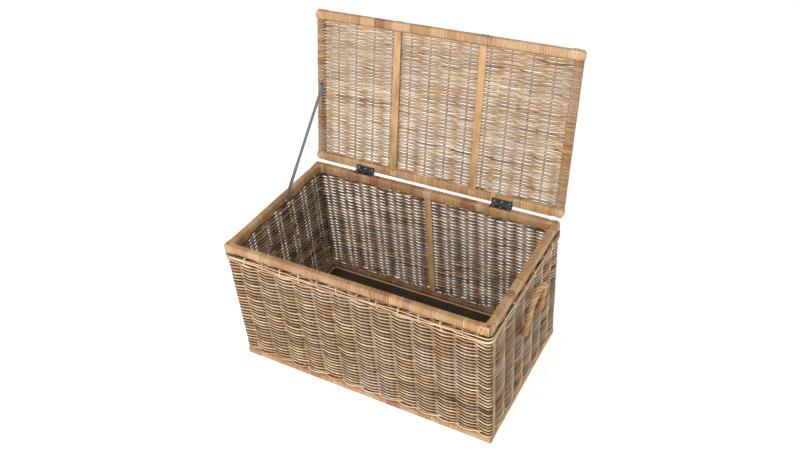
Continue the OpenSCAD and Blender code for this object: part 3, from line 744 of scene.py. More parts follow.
class TRUNK_OT_set_stakes(bpy.types.Operator):
    """Gives the stakes, posts and rail cores their peeled-pole finish"""

    bl_idname = "trunk.set_stakes"
    bl_label = "Set stakes"

    def execute(self, context):
        upright = pole_finish()
        level_x = grain_finish("poles along x", (0.30, 0.19, 0.105), (0.13, 0.078, 0.042), (9, 90, 90), 1.0, 0.55)
        level_y = grain_finish("poles along y", (0.30, 0.19, 0.105), (0.13, 0.078, 0.042), (90, 9, 90), 1.0, 0.55)
        for node in ("stakes_front", "stakes_back", "stakes_left", "stakes_right", "corner_posts",
                     "lid_rail_left", "lid_rail_right"):
            paint(node, upright)
        lid_stakes = grain_finish("lid stakes", (0.62, 0.43, 0.25), (0.38, 0.235, 0.125), (90, 90, 9), 1.0, 0.5)
        paint("lid_stakes", lid_stakes)
        for node in ("rim_rail_front", "rim_rail_back", "base_rail_front", "base_rail_back",
                     "lid_rail_front", "lid_rail_back"):
            paint(node, level_x)
        for node in ("rim_rail_left", "rim_rail_right", "base_rail_left", "base_rail_right", "base_bars"):
            paint(node, level_y)
        return {"FINISHED"}


class TRUNK_OT_lay_border(bpy.types.Operator):
    """Lays the loose border canes under the rim and ties them at the stakes"""

    bl_idname = "trunk.lay_border"
    bl_label = "Lay border canes"

    def execute(self, context):
        weave = context.scene.trunk_weave
        finish = strand_finish("border canes", Vector(weave.pale) * 1.1, Vector(weave.tan) * 1.3,
                               weave.deep, weave.grey, 0.3)
        reach = 2.7 * MM
        paths, tones, girths = [], [], []
        rng = random.Random(5)
        for lane, z in enumerate((RIM_FOOT - 4.2 * MM, RIM_FOOT - 11.5 * MM, RIM_FOOT - 19.5 * MM)):
            path = []
            half_x, half_y, turn = HALF_W + reach, HALF_D + reach, 16 * MM
            quarter = [(half_x - turn, -(half_y - turn), 270), (half_x - turn, half_y - turn, 0),
                       (-(half_x - turn), half_y - turn, 90), (-(half_x - turn), -(half_y - turn), 180)]
            corners = []
            for cx, cy, start in quarter:
                arc = [(cx + turn * math.cos(math.radians(start + a)), cy + turn * math.sin(math.radians(start + a)))
                       for a in (0, 22, 45, 68, 90)]
                corners.append(arc)
            for index, arc in enumerate(corners):
                path += arc
                following = corners[(index + 1) % 4][0]
                gap = math.dist(arc[-1], following)
                for i in range(1, int(gap / 0.02)):
                    t = i / int(gap / 0.02)
                    path.append((arc[-1][0] + (following[0] - arc[-1][0]) * t,
                                 arc[-1][1] + (following[1] - arc[-1][1]) * t))
            drawn = [(x, y, z + 2.2 * MM * noise.noise(Vector((x * 11, y * 11, lane * 5.3)))
                      - 1.8 * MM * (1 + math.sin(x * 31 + y * 27 + lane * 2.6)))
                     for x, y in path]
            paths.append(drawn)
            girths.append(rng.uniform(0.85, 1.0))
            tones.append(splice_tones(drawn, lane, 301, 0.2, 0.72))
        mesh = strand_mesh("border_canes_laid", paths, 2.3 * MM, 8, closed=True, girths=girths, tones=tones,
                           stacked=(0, 0, 1))
        add_piece("border_canes_laid", mesh, "trunk", finish, ["border_canes"])

        ties, tie_tones = [], []
        for wall in WALLS:
            reach_u, line, stakes, first, to_plan, long = wall_facts(wall)
            for k, u in enumerate(stakes):
                lean = rng.uniform(-3, 3) * MM
                d = WALL / 2 + 2.7 * MM
                loop = []
                for a in range(0, 360, 30):
                    c, s = math.cos(math.radians(a)), math.sin(math.radians(a))
                    x, y = to_plan(u + lean * s, d + 3.9 * MM * c)
                    loop.append((x, y, RIM_FOOT - 9 * MM + 12.5 * MM * s))
                ties.append(loop)
                tie_tones.append(rng.uniform(0.6, 1.0))
        mesh = strand_mesh("border_ties", ties, 1.25 * MM, 6, closed=True, tones=tie_tones)
        add_piece("border_ties", mesh, "trunk", finish)
        return {"FINISHED"}


# ---- wrapping the rails -------------------------------------------------------------------


class TRUNK_OT_wrap_rails(bpy.types.Operator):
    """Winds split cane round the rim rails, the base rails and the ledge inside"""

    bl_idname = "trunk.wrap_rails"
    bl_label = "Wrap rails"

    def execute(self, context):
        rng = random.Random(21)
        height = RIM_TOP - RIM_FOOT
        across = {"x": cane_finish("cane on long rails", "x"), "y": cane_finish("cane on short rails", "y")}
        for wall in WALLS:
            long = wall in ("front", "back")
            low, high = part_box("rim_wrap_" + wall)
            mid = (low + high) / 2
            half = (high.x if long else high.y)
            fuller, rounding = (0.9 * MM, 3.8 * MM) if wall == "back" else (0, 5 * MM)
            bm = wrapped_rail(-half, half, RIM_WIDTH, height, rounding, rng.random(), tint=0.52, swell=fuller)
            bmesh.ops.transform(bm, matrix=rail_place(1, not long, mid.x, mid.y, mid.z), verts=bm.verts)
            run = "x" if long else "y"
            add_piece("rim_cane_" + wall, finish_bmesh(bm, "rim_cane_" + wall), "trunk", across[run],
                      ["rim_wrap_" + wall])
        parts = {"x": [], "y": []}
        for side in (-1, 1):
            bm = wrapped_rail(-HALF_W + 1 * MM, HALF_W - 1 * MM, RIM_WIDTH, BASE_TOP, 5 * MM, rng.random(), tint=0.5)
            parts["x"].append((bm, rail_place(side, False, 0, side * (HALF_D - RIM_WIDTH / 2), BASE_TOP / 2)))
            reach = HALF_D - RIM_WIDTH
            bm = wrapped_rail(-reach, reach, RIM_WIDTH, BASE_TOP, 5 * MM, rng.random(), tint=0.5)
            parts["y"].append((bm, rail_place(side, True, side * (HALF_W - RIM_WIDTH / 2), 0, BASE_TOP / 2)))
        add_piece("base_cane_long", finish_bmesh(join_bmeshes(parts["x"]), "base_cane_long"), "trunk",
                  across["x"], ["base_wraps"])
        add_piece("base_cane_short", finish_bmesh(join_bmeshes(parts["y"]), "base_cane_short"), "trunk",
                  across["y"])
        low, high = (Vector(corner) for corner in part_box("ledge_rails"))
        size = high.z - low.z
        band = 15 * MM
        parts = []
        for side in (-1, 1):
            bm = wrapped_rail(low.x, high.x, band, size, 3 * MM, rng.random(), tint=0.3)
            parts.append((bm, rail_place(side, False, 0, side * (high.y - band / 2), (low.z + high.z) / 2)))
            bm = wrapped_rail(low.y + band, high.y - band, band, size, 3 * MM, rng.random(), tint=0.3)
            parts.append((bm, rail_place(side, True, side * (high.x - band / 2), 0, (low.z + high.z) / 2)))
        # the ledge cane is the rail cane at 0.62 of its colour: a painted-shade copy for the inside of the trunk
        add_piece("ledge_cane", finish_bmesh(join_bmeshes(parts), "ledge_cane"), "trunk",
                  cane_finish("cane on the ledge", "x", 0.62), ["ledge_rails"])
        bead = 1.7 * MM
        half_x, half_y, turn = high.x - band - bead, high.y - band - bead, 6 * MM
        loop = []
        for sx, sy in ((1, 1), (-1, 1), (-1, -1), (1, -1)):
            ends = [(sx * half_x, sy * (half_y - turn), low.z + bead), (sx * (half_x - turn), sy * half_y, low.z + bead)]
            loop += ends if sx * sy > 0 else ends[::-1]
        mesh = strand_mesh("ledge_bead", [loop], bead, 8, closed=True, tones=[0.7])
        weave = context.scene.trunk_weave
        light = strand_finish("border canes", Vector(weave.pale) * 1.1, Vector(weave.tan) * 1.3,
                              weave.deep, weave.grey, 0.3)
        add_piece("ledge_bead", mesh, "trunk", light)
        return {"FINISHED"}


def slanted_band(width, height, rounding, reach, at, normal, thick, swell):
    """A flat band of cane wound aslant round a rail along x: a slice of a slightly larger rail."""
    bm = bmesh.new()
    face = section(bm, width + 2 * swell, height + 2 * swell, rounding + swell, (-reach, 0, 0))
    push(bm, face, 2 * reach, 1.0, Vector((0, 0, 0)))
    way = Vector(normal).normalized()
    for sign in (-1, 1):
        cut = Vector((at, 0, 0)) + way * (sign * thick / 2)
        geometry = list(bm.verts) + list(bm.edges) + list(bm.faces)
        made = bmesh.ops.bisect_plane(bm, geom=geometry, dist=1e-7, plane_co=cut, plane_no=way * sign,
                                      clear_outer=True)["geom_cut"]
        rim = [e for e in made if isinstance(e, bmesh.types.BMEdge)]
        if rim:
            bmesh.ops.edgeloop_fill(bm, edges=rim)
    bmesh.ops.recalc_face_normals(bm, faces=bm.faces)
    return bm


def cross_bands(reach, width, height, rounding, seed, tint=0.6):
    """Crossed bands over one end of a rail along x that ends at reach."""
    rng = random.Random(seed)
    made = []
    for lean, spots in ((0.75, (0.34, 0.66)), (-0.75, (0.36, 0.64))):
        for share in spots:
            at = reach * share
            bm = slanted_band(width, height, rounding, reach * 3, at, (1, lean, 0.35 * lean), 5.2 * MM,
                              (1.0 if lean > 0 else 1.6) * MM)
            layer = bm.faces.layers.float.new("tone")
            tone = min(1, max(0, rng.gauss(tint, 0.15)))
            way = Vector((1, lean, 0.35 * lean)).normalized()
            # painted shade: the cut faces along the band's edges take tone 0, the deep cane colour, as a dark outline
            for f in bm.faces:
                f[layer] = 0.0 if abs(f.normal.dot(way)) > 0.8 else tone
            made.append(bm)
    return made


def keep_within(bm, low, high):
    """Cuts away whatever lies outside a box along x, and closes the ends."""
    for place_x, sign in ((low, -1), (high, 1)):
        geometry = list(bm.verts) + list(bm.edges) + list(bm.faces)
        made = bmesh.ops.bisect_plane(bm, geom=geometry, dist=1e-7, plane_co=(place_x, 0, 0),
                                      plane_no=(sign, 0, 0), clear_outer=True)["geom_cut"]
        rim = [e for e in made if isinstance(e, bmesh.types.BMEdge)]
        if rim:
            bmesh.ops.edgeloop_fill(bm, edges=rim)
    return bm


class TRUNK_OT_bind_corners(bpy.types.Operator):
    """Binds the rim's corners with crossed bands of cane"""

    bl_idname = "trunk.bind_corners"
    bl_label = "Bind corners"

    def execute(self, context):
        finish = cane_finish("cane on long rails", "x")
        paint("rim_corner_bindings", cane_finish("cane under the rim bands", "x", 1.0, 0.45))
        height = RIM_TOP - RIM_FOOT
        parts = []
        seed = 40
        for sx in (-1, 1):
            for sy in (-1, 1):
                for along_y in (False, True):
                    seed += 1
                    for bm in cross_bands(CORNER, RIM_WIDTH, height, 5 * MM, seed):
                        keep_within(bm, 0.5 * MM, CORNER - 4 * MM)
                        if along_y:
                            move = (Matrix.Translation((sx * (HALF_W - RIM_WIDTH / 2), sy * HALF_D, RIM_FOOT + height / 2))
                                    @ Matrix.Rotation(-sy * math.pi / 2, 4, "Z"))
                            move = (Matrix.Translation((sx * (HALF_W - RIM_WIDTH / 2), sy * (HALF_D - CORNER), RIM_FOOT + height / 2))
                                    @ Matrix.Rotation(sy * math.pi / 2, 4, "Z"))
                        else:
                            move = (Matrix.Translation((sx * (HALF_W - CORNER), sy * (HALF_D - RIM_WIDTH / 2), RIM_FOOT + height / 2))
                                    @ Matrix.Rotation(0 if sx > 0 else math.pi, 4, "Z"))
                        parts.append((bm, move))
        mesh = finish_bmesh(join_bmeshes(parts), "rim_corner_bands")
        add_piece("rim_corner_bands", mesh, "trunk", finish, smooth=False)
        return {"FINISHED"}


class TRUNK_OT_fit_base(bpy.types.Operator):
    """Finishes the base board"""

    bl_idname = "trunk.fit_base"
    bl_label = "Fit base"

    def execute(self, context):
        board = Vector(context.scene.trunk_fittings.board)
        paint("base_board", grain_finish("base board", board * 1.25, board * 0.7, (6, 60, 60), 1.0, 0.6, 0.4))
        return {"FINISHED"}


# ---- the lid ---------------------------------------------------------------------------------


class TRUNK_OT_weave_lid(bpy.types.Operator):
    """Weaves the lid across its stakes and winds its woven sides"""

    bl_idname = "trunk.weave_lid"
    bl_label = "Weave lid"

    def execute(self, context):
        weave = context.scene.trunk_weave
        finish = lid_weaver_finish()
        low, high = closed_box("lid_weave")
        stakes_low, stakes_high = closed_box("lid_stakes")
        thick = stakes_high.z - stakes_low.z
        count = weave.long_stakes
        first = stakes_low.x + thick / 2
        pitch_x = (stakes_high.x - stakes_low.x - thick) / (count - 1)
        knots = [first + k * pitch_x for k in range(-1, count + 1)]
        middle = (low.z + high.z) / 2
        bulge = (thick + weave.lid_strand) / 2 - 1.1 * MM
        rows = round((high.y - low.y) / weave.lid_pitch)
        pitch = (high.y - low.y) / rows
        end = high.x + 6 * MM
        paths, tones, girths = [], [], []
        for row in range(rows):
            y = low.y + (row + 0.5) * pitch
            rng = random.Random(row * 13 + 1)
            path = []
            steps = 6
            for k in range(len(knots) - 1):
                side = 1 if (k + row) % 2 == 0 else -1
                for i in range(steps + (k == len(knots) - 2)):
                    t = i / steps
                    x = knots[k] + pitch_x * t
                    if abs(x) > end:
                        continue
                    calm = min(1.0, (y - low.y) / 0.02, (high.y - y) / 0.02)
                    stray = 2.1 * MM * calm * noise.noise(Vector((x * 13, y * 75, 3.7)))
                    path.append((x, y + stray, middle + side * bulge * math.cos(math.pi * t)))
            paths.append(path)
            girths.append(rng.uniform(0.88, 1.08))
            tones.append(splice_tones(path, row, 501, 0.17, 0.58))
        mesh = strand_mesh("lid_weavers", paths, weave.lid_strand / 2, 8, girths=girths, tones=tones, move=OPEN_LID,
                           stacked=(0, 1, 0))
        add_piece("lid_weavers", mesh, "lid", finish, ["lid_weave"])

        cane = context.scene.trunk_cane
        turned = strand_finish("lid side turns", Vector(cane.pale) * 0.95, Vector(cane.tan) * 0.92, cane.deep,
                               Vector(cane.sheen) * 0.95, 0.6)
        for name, sign in (("left", -1), ("right", 1)):
            low, high = closed_box("lid_edge_weave_" + name)
            centre = (low + high) / 2
            radius = 1.85 * MM
            half_x, half_z = (high.x - low.x) / 2 - radius, (high.z - low.z) / 2 - radius
            turns = round((high.y - low.y) / (4.7 * MM))
            loops, tones = [], []
            rng = random.Random(91 + sign)
            for n in range(turns):
                y = low.y + (n + 0.5) * (high.y - low.y) / turns
                slant = rng.uniform(0.2, 1.2) * MM
                squeeze = rng.uniform(0.94, 1.0)
                loop = []
                for a in range(0, 360, 24):
                    c, s = math.cos(math.radians(a)), math.sin(math.radians(a))
                    px = half_x * squeeze * math.copysign(abs(c) ** 0.55, c)
                    pz = half_z * squeeze * math.copysign(abs(s) ** 0.55, s)
                    loop.append((centre.x + px, y + slant * c * sign, centre.z + pz))
                loops.append(loop)
                tones.append(min(1, max(0, rng.gauss(0.5, 0.28))))
            mesh = strand_mesh("lid_side_" + name, loops, radius, 8, closed=True, tones=tones, move=OPEN_LID,
                               stacked=(0, 1, 0))
            add_piece("lid_side_" + name, mesh, "lid", turned, ["lid_edge_weave_" + name])
        return {"FINISHED"}


class TRUNK_OT_wrap_lid(bpy.types.Operator):
    """Winds cane round the lid's front and back rails and crosses it over their ends"""

    bl_idname = "trunk.wrap_lid"
    bl_label = "Wrap lid rails"

    def execute(self, context):
        finish = cane_finish("cane on the lid", "x", 1.0)
        paint("lid_corner_bindings", cane_finish("cane under the lid bands", "x", 1.0, 0.5))
        ends_low, ends_high = closed_box("lid_corner_bindings")
        parts = []
        for number, name in enumerate(("front", "back")):
            low, high = closed_box("lid_wrap_" + name)
            mid = (low + high) / 2
            width, height = high.y - low.y, high.z - low.z
            fuller, rounding = (0.9 * MM, 4 * MM) if name == "back" else (0, 6 * MM)
            bm = wrapped_rail(low.x, high.x, width, height, rounding, 61 + number, tint=0.6, swell=fuller)
            move = OPEN_LID @ Matrix.Translation(mid)
            bmesh.ops.transform(bm, matrix=move, verts=bm.verts)
            add_piece("lid_cane_" + name, finish_bmesh(bm, "lid_cane_" + name), "lid", finish,
                      ["lid_wrap_" + name])
            reach = ends_high.x - high.x
            for sign in (-1, 1):
                for band in cross_bands(reach, width, height, 7 * MM, 70 + number * 2 + sign):
                    keep_within(band, 0.5 * MM, reach - 5 * MM)
                    move = (OPEN_LID @ Matrix.Translation((sign * high.x, mid.y, mid.z))
                            @ Matrix.Rotation(0 if sign > 0 else math.pi, 4, "Z"))
                    parts.append((band, move))
        mesh = finish_bmesh(join_bmeshes(parts), "lid_corner_bands")
        add_piece("lid_corner_bands", mesh, "lid", finish, smooth=False)
        return {"FINISHED"}


def batten_bmesh(low, high):
    """A flat slat with its long edges eased and a slight wave along its length."""
    bm = bmesh.new()
    bmesh.ops.create_cube(bm, size=1.0)
    bmesh.ops.scale(bm, vec=high - low, verts=bm.verts)
    bmesh.ops.translate(bm, vec=(low + high) / 2, verts=bm.verts)
    bmesh.ops.bevel(bm, geom=list(bm.edges), offset=0.9 * MM, offset_type="OFFSET", segments=2,
                    profile=0.5, affect="EDGES", material=-1, clamp_overlap=True)
    longest = max(range(3), key=lambda i: (high - low)[i])
    runs = [e for e in bm.edges
            if abs(abs((e.verts[0].co - e.verts[1].co)[longest]) - e.calc_length()) < 1e-6
            and e.calc_length() > 0.1]
    bmesh.ops.subdivide_edges(bm, edges=runs, cuts=14, use_grid_fill=True)
    for v in bm.verts:
        wave = noise.noise(Vector(v.co) * 9) * 0.35 * MM
        v.co += Vector((wave if longest != 0 else 0, wave if longest == 0 else 0, 0))
    return bm


class TRUNK_OT_fit_battens(bpy.types.Operator):
    """Fits the flat battens on the lid and the back wall, and binds their ends to the rails"""

    bl_idname = "trunk.fit_battens"
    bl_label = "Fit battens"

    def execute(self, context):
        slat = grain_finish("flat battens", (0.60, 0.36, 0.165), (0.34, 0.18, 0.072), (60, 60, 7), 1.0, 0.55, 0.35, 0.25)
        for name in ("left", "right"):
            bm = batten_bmesh(*closed_box("lid_batten_" + name))
            mesh = finish_bmesh(bm, "lid_slat_" + name, OPEN_LID)
            add_piece("lid_slat_" + name, mesh, "lid", slat, ["lid_batten_" + name], smooth=False)
        bm = batten_bmesh(*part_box("back_batten"))
        add_piece("back_slat", finish_bmesh(bm, "back_slat"), "trunk", slat, ["back_batten"], smooth=False)

        low, high = closed_box("lid_batten_bindings")
        rails = {name: closed_box("lid_wrap_" + name) for name in ("front", "back")}
        width = closed_box("lid_batten_left")[1].x - closed_box("lid_batten_left")[0].x
        centre = (closed_box("lid_batten_right")[0].x + closed_box("lid_batten_right")[1].x) / 2
        parts = []
        for number, name in enumerate(("front", "back")):
            a, b = rails[name]
            for sign in (-1, 1):
                bm = wrapped_rail(-width / 2, width / 2, b.y - a.y, b.z - a.z, 7 * MM, 80 + number + sign,
                                  turn=5.2 * MM, swell=1.0 * MM, tint=0.6)
                parts.append((bm, OPEN_LID @ Matrix.Translation((sign * centre, (a.y + b.y) / 2, (a.z + b.z) / 2))))
        add_piece("lid_batten_cane", finish_bmesh(join_bmeshes(parts), "lid_batten_cane"), "lid",
                  cane_finish("cane on the lid", "x", 1.0), ["lid_batten_bindings"])
        bm = wrapped_rail(-width / 2, width / 2, RIM_WIDTH, RIM_TOP - RIM_FOOT, 5 * MM, 90,
                          turn=5.2 * MM, swell=1.0 * MM, tint=0.6)
        move = Matrix.Translation((0, HALF_D - RIM_WIDTH / 2, (RIM_TOP + RIM_FOOT) / 2))
        add_piece("back_batten_cane", finish_bmesh(bm, "back_batten_cane", move), "trunk",
                  cane_finish("cane on long rails", "x"), ["back_batten_binding"])
        return {"FINISHED"}


# ---- hinges and strap --------------------------------------------------------------------------


def screw_head(radius, height):
    """A countersunk head with a cross slot, flat side up at z = 0."""
    bm = bmesh.new()
    bmesh.ops.create_cone(bm, cap_ends=True, segments=20, radius1=radius * 0.5, radius2=radius, depth=height)
    bmesh.ops.translate(bm, vec=(0, 0, -height / 2), verts=bm.verts)
    half = radius * 0.13
    for way in (Vector((1, 0, 0)), Vector((0, 1, 0))):
        for sign in (-1, 1):
            geometry = list(bm.verts) + list(bm.edges) + list(bm.faces)
            bmesh.ops.bisect_plane(bm, geom=geometry, dist=1e-8, plane_co=way * half * sign, plane_no=way)
    for way in (Vector((1, 0, 0)), Vector((0, 1, 0))):
        for sign in (-1, 1):
            geometry = list(bm.verts) + list(bm.edges) + list(bm.faces)
            bmesh.ops.bisect_plane(bm, geom=geometry, dist=1e-8, plane_co=way * radius * 0.6 * sign, plane_no=way)
    tops = [f for f in bm.faces if f.normal.z > 0.9 and f.calc_center_median().z > -1e-6]
    slot = [f for f in tops
            if min(abs(f.calc_center_median().x), abs(f.calc_center_median().y)) < half
            and max(abs(f.calc_center_median().x), abs(f.calc_center_median().y)) < radius * 0.6]
    made = bmesh.ops.extrude_face_region(bm, geom=slot)["geom"]
    bmesh.ops.delete(bm, geom=slot, context="FACES_ONLY")
    bmesh.ops.translate(bm, vec=(0, 0, -0.45 * height), verts=[v for v in made if isinstance(v, bmesh.types.BMVert)])
    bmesh.ops.recalc_face_normals(bm, faces=bm.faces)
    return bm


def screws_from(node, name, body, lid, finish, radius, height, way):
    """A slotted head on each of a node's screws; its place is read from the node's own pieces."""
    shut = OPEN_LID.inverted() if lid else Matrix.Identity(4)
    bm = bmesh.new()
    bm.from_mesh(frame["nodes"][node].data)
    bmesh.ops.remove_doubles(bm, verts=bm.verts, dist=1e-6)
    bmesh.ops.transform(bm, matrix=shut, verts=bm.verts)
    left, spots = set(bm.verts), []
    while left:
        stack, island = [left.pop()], []
        while stack:
            v = stack.pop()
            island.append(v.co.copy())
            for e in v.link_edges:
                other = e.other_vert(v)
                if other in left:
                    left.discard(other)
                    stack.append(other)
        spots.append(island)
    bm.free()
    parts = []
    rng = random.Random(17)
    for island in spots:
        low = Vector([min(c[i] for c in island) for i in range(3)])
        high = Vector([max(c[i] for c in island) for i in range(3)])
        middle = (low + high) / 2
        tip = high if way.dot(high - low) > 0 else low
        at = middle + way * abs(way.dot(high - low)) / 2
        turn = Vector((0, 0, 1)).rotation_difference(way).to_matrix().to_4x4()
        spin = Matrix.Rotation(rng.uniform(0, math.pi), 4, "Z")
        parts.append((screw_head(radius, height), shut.inverted() @ Matrix.Translation(at) @ turn @ spin))
    whole = bmesh.new()
    for part, move in parts:
        mesh = finish_bmesh(part, "part", move)
        whole.from_mesh(mesh)
        bpy.data.meshes.remove(mesh)
    add_piece(name, finish_bmesh(whole, name), body, finish, [node], smooth=False)


class TRUNK_OT_fit_hinges(bpy.types.Operator):
    """Finishes the butt hinges and sets their screws"""

    bl_idname = "trunk.fit_hinges"
    bl_label = "Fit hinges"

    def execute(self, context):
        leaf = Vector(context.scene.trunk_fittings.leaf)
        black = grain_finish("black hinges", leaf * 2.2, leaf, (1, 1, 1), 420.0, 0.42, 0.12, 0.5)
        for node in ("hinge_lower_leaf_left", "hinge_lower_leaf_right", "hinge_upper_leaf_left",
                     "hinge_upper_leaf_right", "hinge_pins"):
            paint(node, black)
        steel = grain_finish("bright screws", (0.78, 0.78, 0.79), (0.55, 0.55, 0.56), (1, 1, 1), 900.0, 0.32, 0.05, 0.5, 1.0)
        screws_from("hinge_lower_screws", "lower_screw_heads", "trunk", False, steel, 2.9 * MM, 1.3 * MM, Vector((0, 0, 1)))
        screws_from("hinge_upper_screws", "upper_screw_heads", "lid", True, steel, 2.9 * MM, 1.3 * MM, Vector((0, 0, -1)))
        paint("strap_lower_screw", steel)
        paint("strap_upper_screw", black)
        return {"FINISHED"}


class TRUNK_OT_hang_strap(bpy.types.Operator):
    """Draws the woven strap from the left rim rail to the lid, with a quarter turn in it"""

    bl_idname = "trunk.hang_strap"
    bl_label = "Hang strap"

    def execute(self, context):
        grey = Vector(context.scene.trunk_fittings.strap)
        if "woven strap" in FINISHES:
            material = FINISHES["woven strap"]
        else:
            material, tree, shader = new_finish("woven strap", Roughness=0.75, Sheen_Weight=0.05, Specular_IOR_Level=0.2)
            along = place(tree, "ShaderNodeAttribute", (-1200, 200), attribute_name="along").outputs["Fac"]
            cross = place(tree, "ShaderNodeAttribute", (-1200, 0), attribute_name="cross").outputs["Fac"]
            slope = math_node(tree, (-1000, 100), "MULTIPLY_ADD", cross, 0.8 * MM, math_node(tree, (-1180, 380), "ADD", along, 0.0))
            weft = math_node(tree, (-820, 160), "SINE", math_node(tree, (-1000, 300), "MULTIPLY", slope, 2 * math.pi / (1.1 * MM)))
            warp = math_node(tree, (-820, 0), "SINE", math_node(tree, (-1000, -60), "MULTIPLY", cross, 2 * math.pi * 9))
            weave_mask = math_node(tree, (-640, 80), "MULTIPLY", weft, warp)
            tint = mix_colour(tree, (-420, 160), remap(tree, (-600, 300), weave_mask, -0.9, 0.9), rgba(grey * 0.72), rgba(grey * 1.45))
            edge = remap(tree, (-600, -160), math_node(tree, (-780, -200), "ABSOLUTE", math_node(tree, (-960, -260), "SUBTRACT", cross, 0.5)), 0.40, 0.47, 0.0, 0.5)
            tint = mix_colour(tree, (-240, 160), edge, tint, rgba(grey * 1.9))
            tree.links.new(tint, shader.inputs["Base Color"])
            join_bump(tree, shader, weave_mask, 0.4, 0.2 * MM)
        low_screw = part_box("strap_lower_screw")
        nodes = frame["nodes"]["strap"].data
        spots = np.array([v.co for v in nodes.vertices])
        order = np.argsort(spots @ np.array([0, 0.714, 0.70]))
        rings = self.stations(spots[order])
        rings = self.turn_at_foot(rings)
        bm = bmesh.new()
        along_layer = bm.verts.layers.float.new("along")
        cross_layer = bm.verts.layers.float.new("cross")
        row = []
        for share in (0, 0.25, 0.5, 0.75, 1):
            v = bm.verts.new(rings[0][0] + rings[0][1] * (2 * share - 1))
            v[cross_layer] = share
            row.append(v)
        edges = [bm.edges.new(pair) for pair in zip(row, row[1:])]
        travelled = 0.0
        for (last, _, _), (centre, wide, _) in zip(rings, rings[1:]):
            travelled += (centre - last).length
            made = bmesh.ops.extrude_edge_only(bm, edges=edges)["geom"]
            for v in made:
                if isinstance(v, bmesh.types.BMVert):
                    v.co = centre + wide * (2 * v[cross_layer] - 1)
                    v[along_layer] = travelled
            edges = [e for e in made if isinstance(e, bmesh.types.BMEdge)]
        bmesh.ops.recalc_face_normals(bm, faces=bm.faces)
        mesh = finish_bmesh(bm, "lid_strap")
        strap = add_piece("lid_strap", mesh, None, material, ["strap"])
        thick = strap.modifiers.new("thickness", "SOLIDIFY")
        thick.thickness = 1.3 * MM
        thick.offset = 0.0
        shaped = strap.evaluated_get(context.evaluated_depsgraph_get())
        solid = bpy.data.meshes.new_from_object(shaped)
        strap.modifiers.clear()
        strap.data = solid
        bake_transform(strap)
        return {"FINISHED"}

    def turn_at_foot(self, rings):
        """Puts the quarter turn into the strap's lowest third, where it really falls."""
        first, last = rings[0][1], rings[-1][1]
        quarter = first.rotation_difference(last)
        length = (rings[-1][0] - rings[0][0]).length
        turned = []
        for centre, _, thin in rings:
            share = min(1.0, (centre - rings[0][0]).length / (0.34 * length))
            part = Quaternion().slerp(quarter, share * share * (3 - 2 * share))
            turned.append((centre, part @ first, thin))
        return turned

    def stations(self, spots):
        """Centre, half width and half thickness of the strap at each of its cross sections."""
        merged = []
        for p in spots:
            if not merged or all(np.linalg.norm(p - q) > 1e-5 for q in merged[-8:]):
                merged.append(p)
        rings = []
        for i in range(0, len(merged) - 3, 4):
            four = [Vector(p) for p in merged[i:i + 4]]
            centre = sum(four, Vector()) / 4
            far = max(four[1:], key=lambda p: (p - four[0]).length)
            rest = [p for p in four[1:] if p is not far]
            rest.sort(key=lambda p: (p - four[0]).length)
            wide = (rest[1] - four[0]) / 2
            rings.append((centre, wide, (rest[0] - four[0]) / 2))
        for i in range(1, len(rings)):
            if rings[i][1].dot(rings[i - 1][1]) < 0:
                rings[i] = (rings[i][0], -rings[i][1], rings[i][2])
        return rings


# ---- handles ---------------------------------------------------------------------------------------


def handle_line(name, samples=64):
    """The rope's centre line, upright in the wall's plane, and the matrix that leans it."""
    pivot = Vector(joint("handle_%s_swing" % name)["pos_m"])
    low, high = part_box("handle_rope_" + name)
    rope = 14 * MM
    radius = (high.y - low.y - rope) / 2
    sign = 1 if pivot.x > 0 else -1
    outer = max(abs(low.x), abs(high.x)) - abs(pivot.x)
    rise = high.z - pivot.z
    lean = math.radians(9)
    top = (rise - rope / 2) / math.cos(lean)
    leg = top - radius
    points = []
    total = 2 * leg + math.pi * radius
    for i in range(samples + 1):
        s = total * i / samples
        if s < leg:
            points.append(Vector((0, -radius, s)))
        elif s < leg + math.pi * radius:
            a = (s - leg) / radius
            points.append(Vector((0, -radius * math.cos(a), leg + radius * math.sin(a))))
        else:
            points.append(Vector((0, radius, total - s)))
    move = Matrix.Translation(pivot) @ Matrix.Rotation(sign * lean, 4, "Y")
    return points, total, radius, move, sign


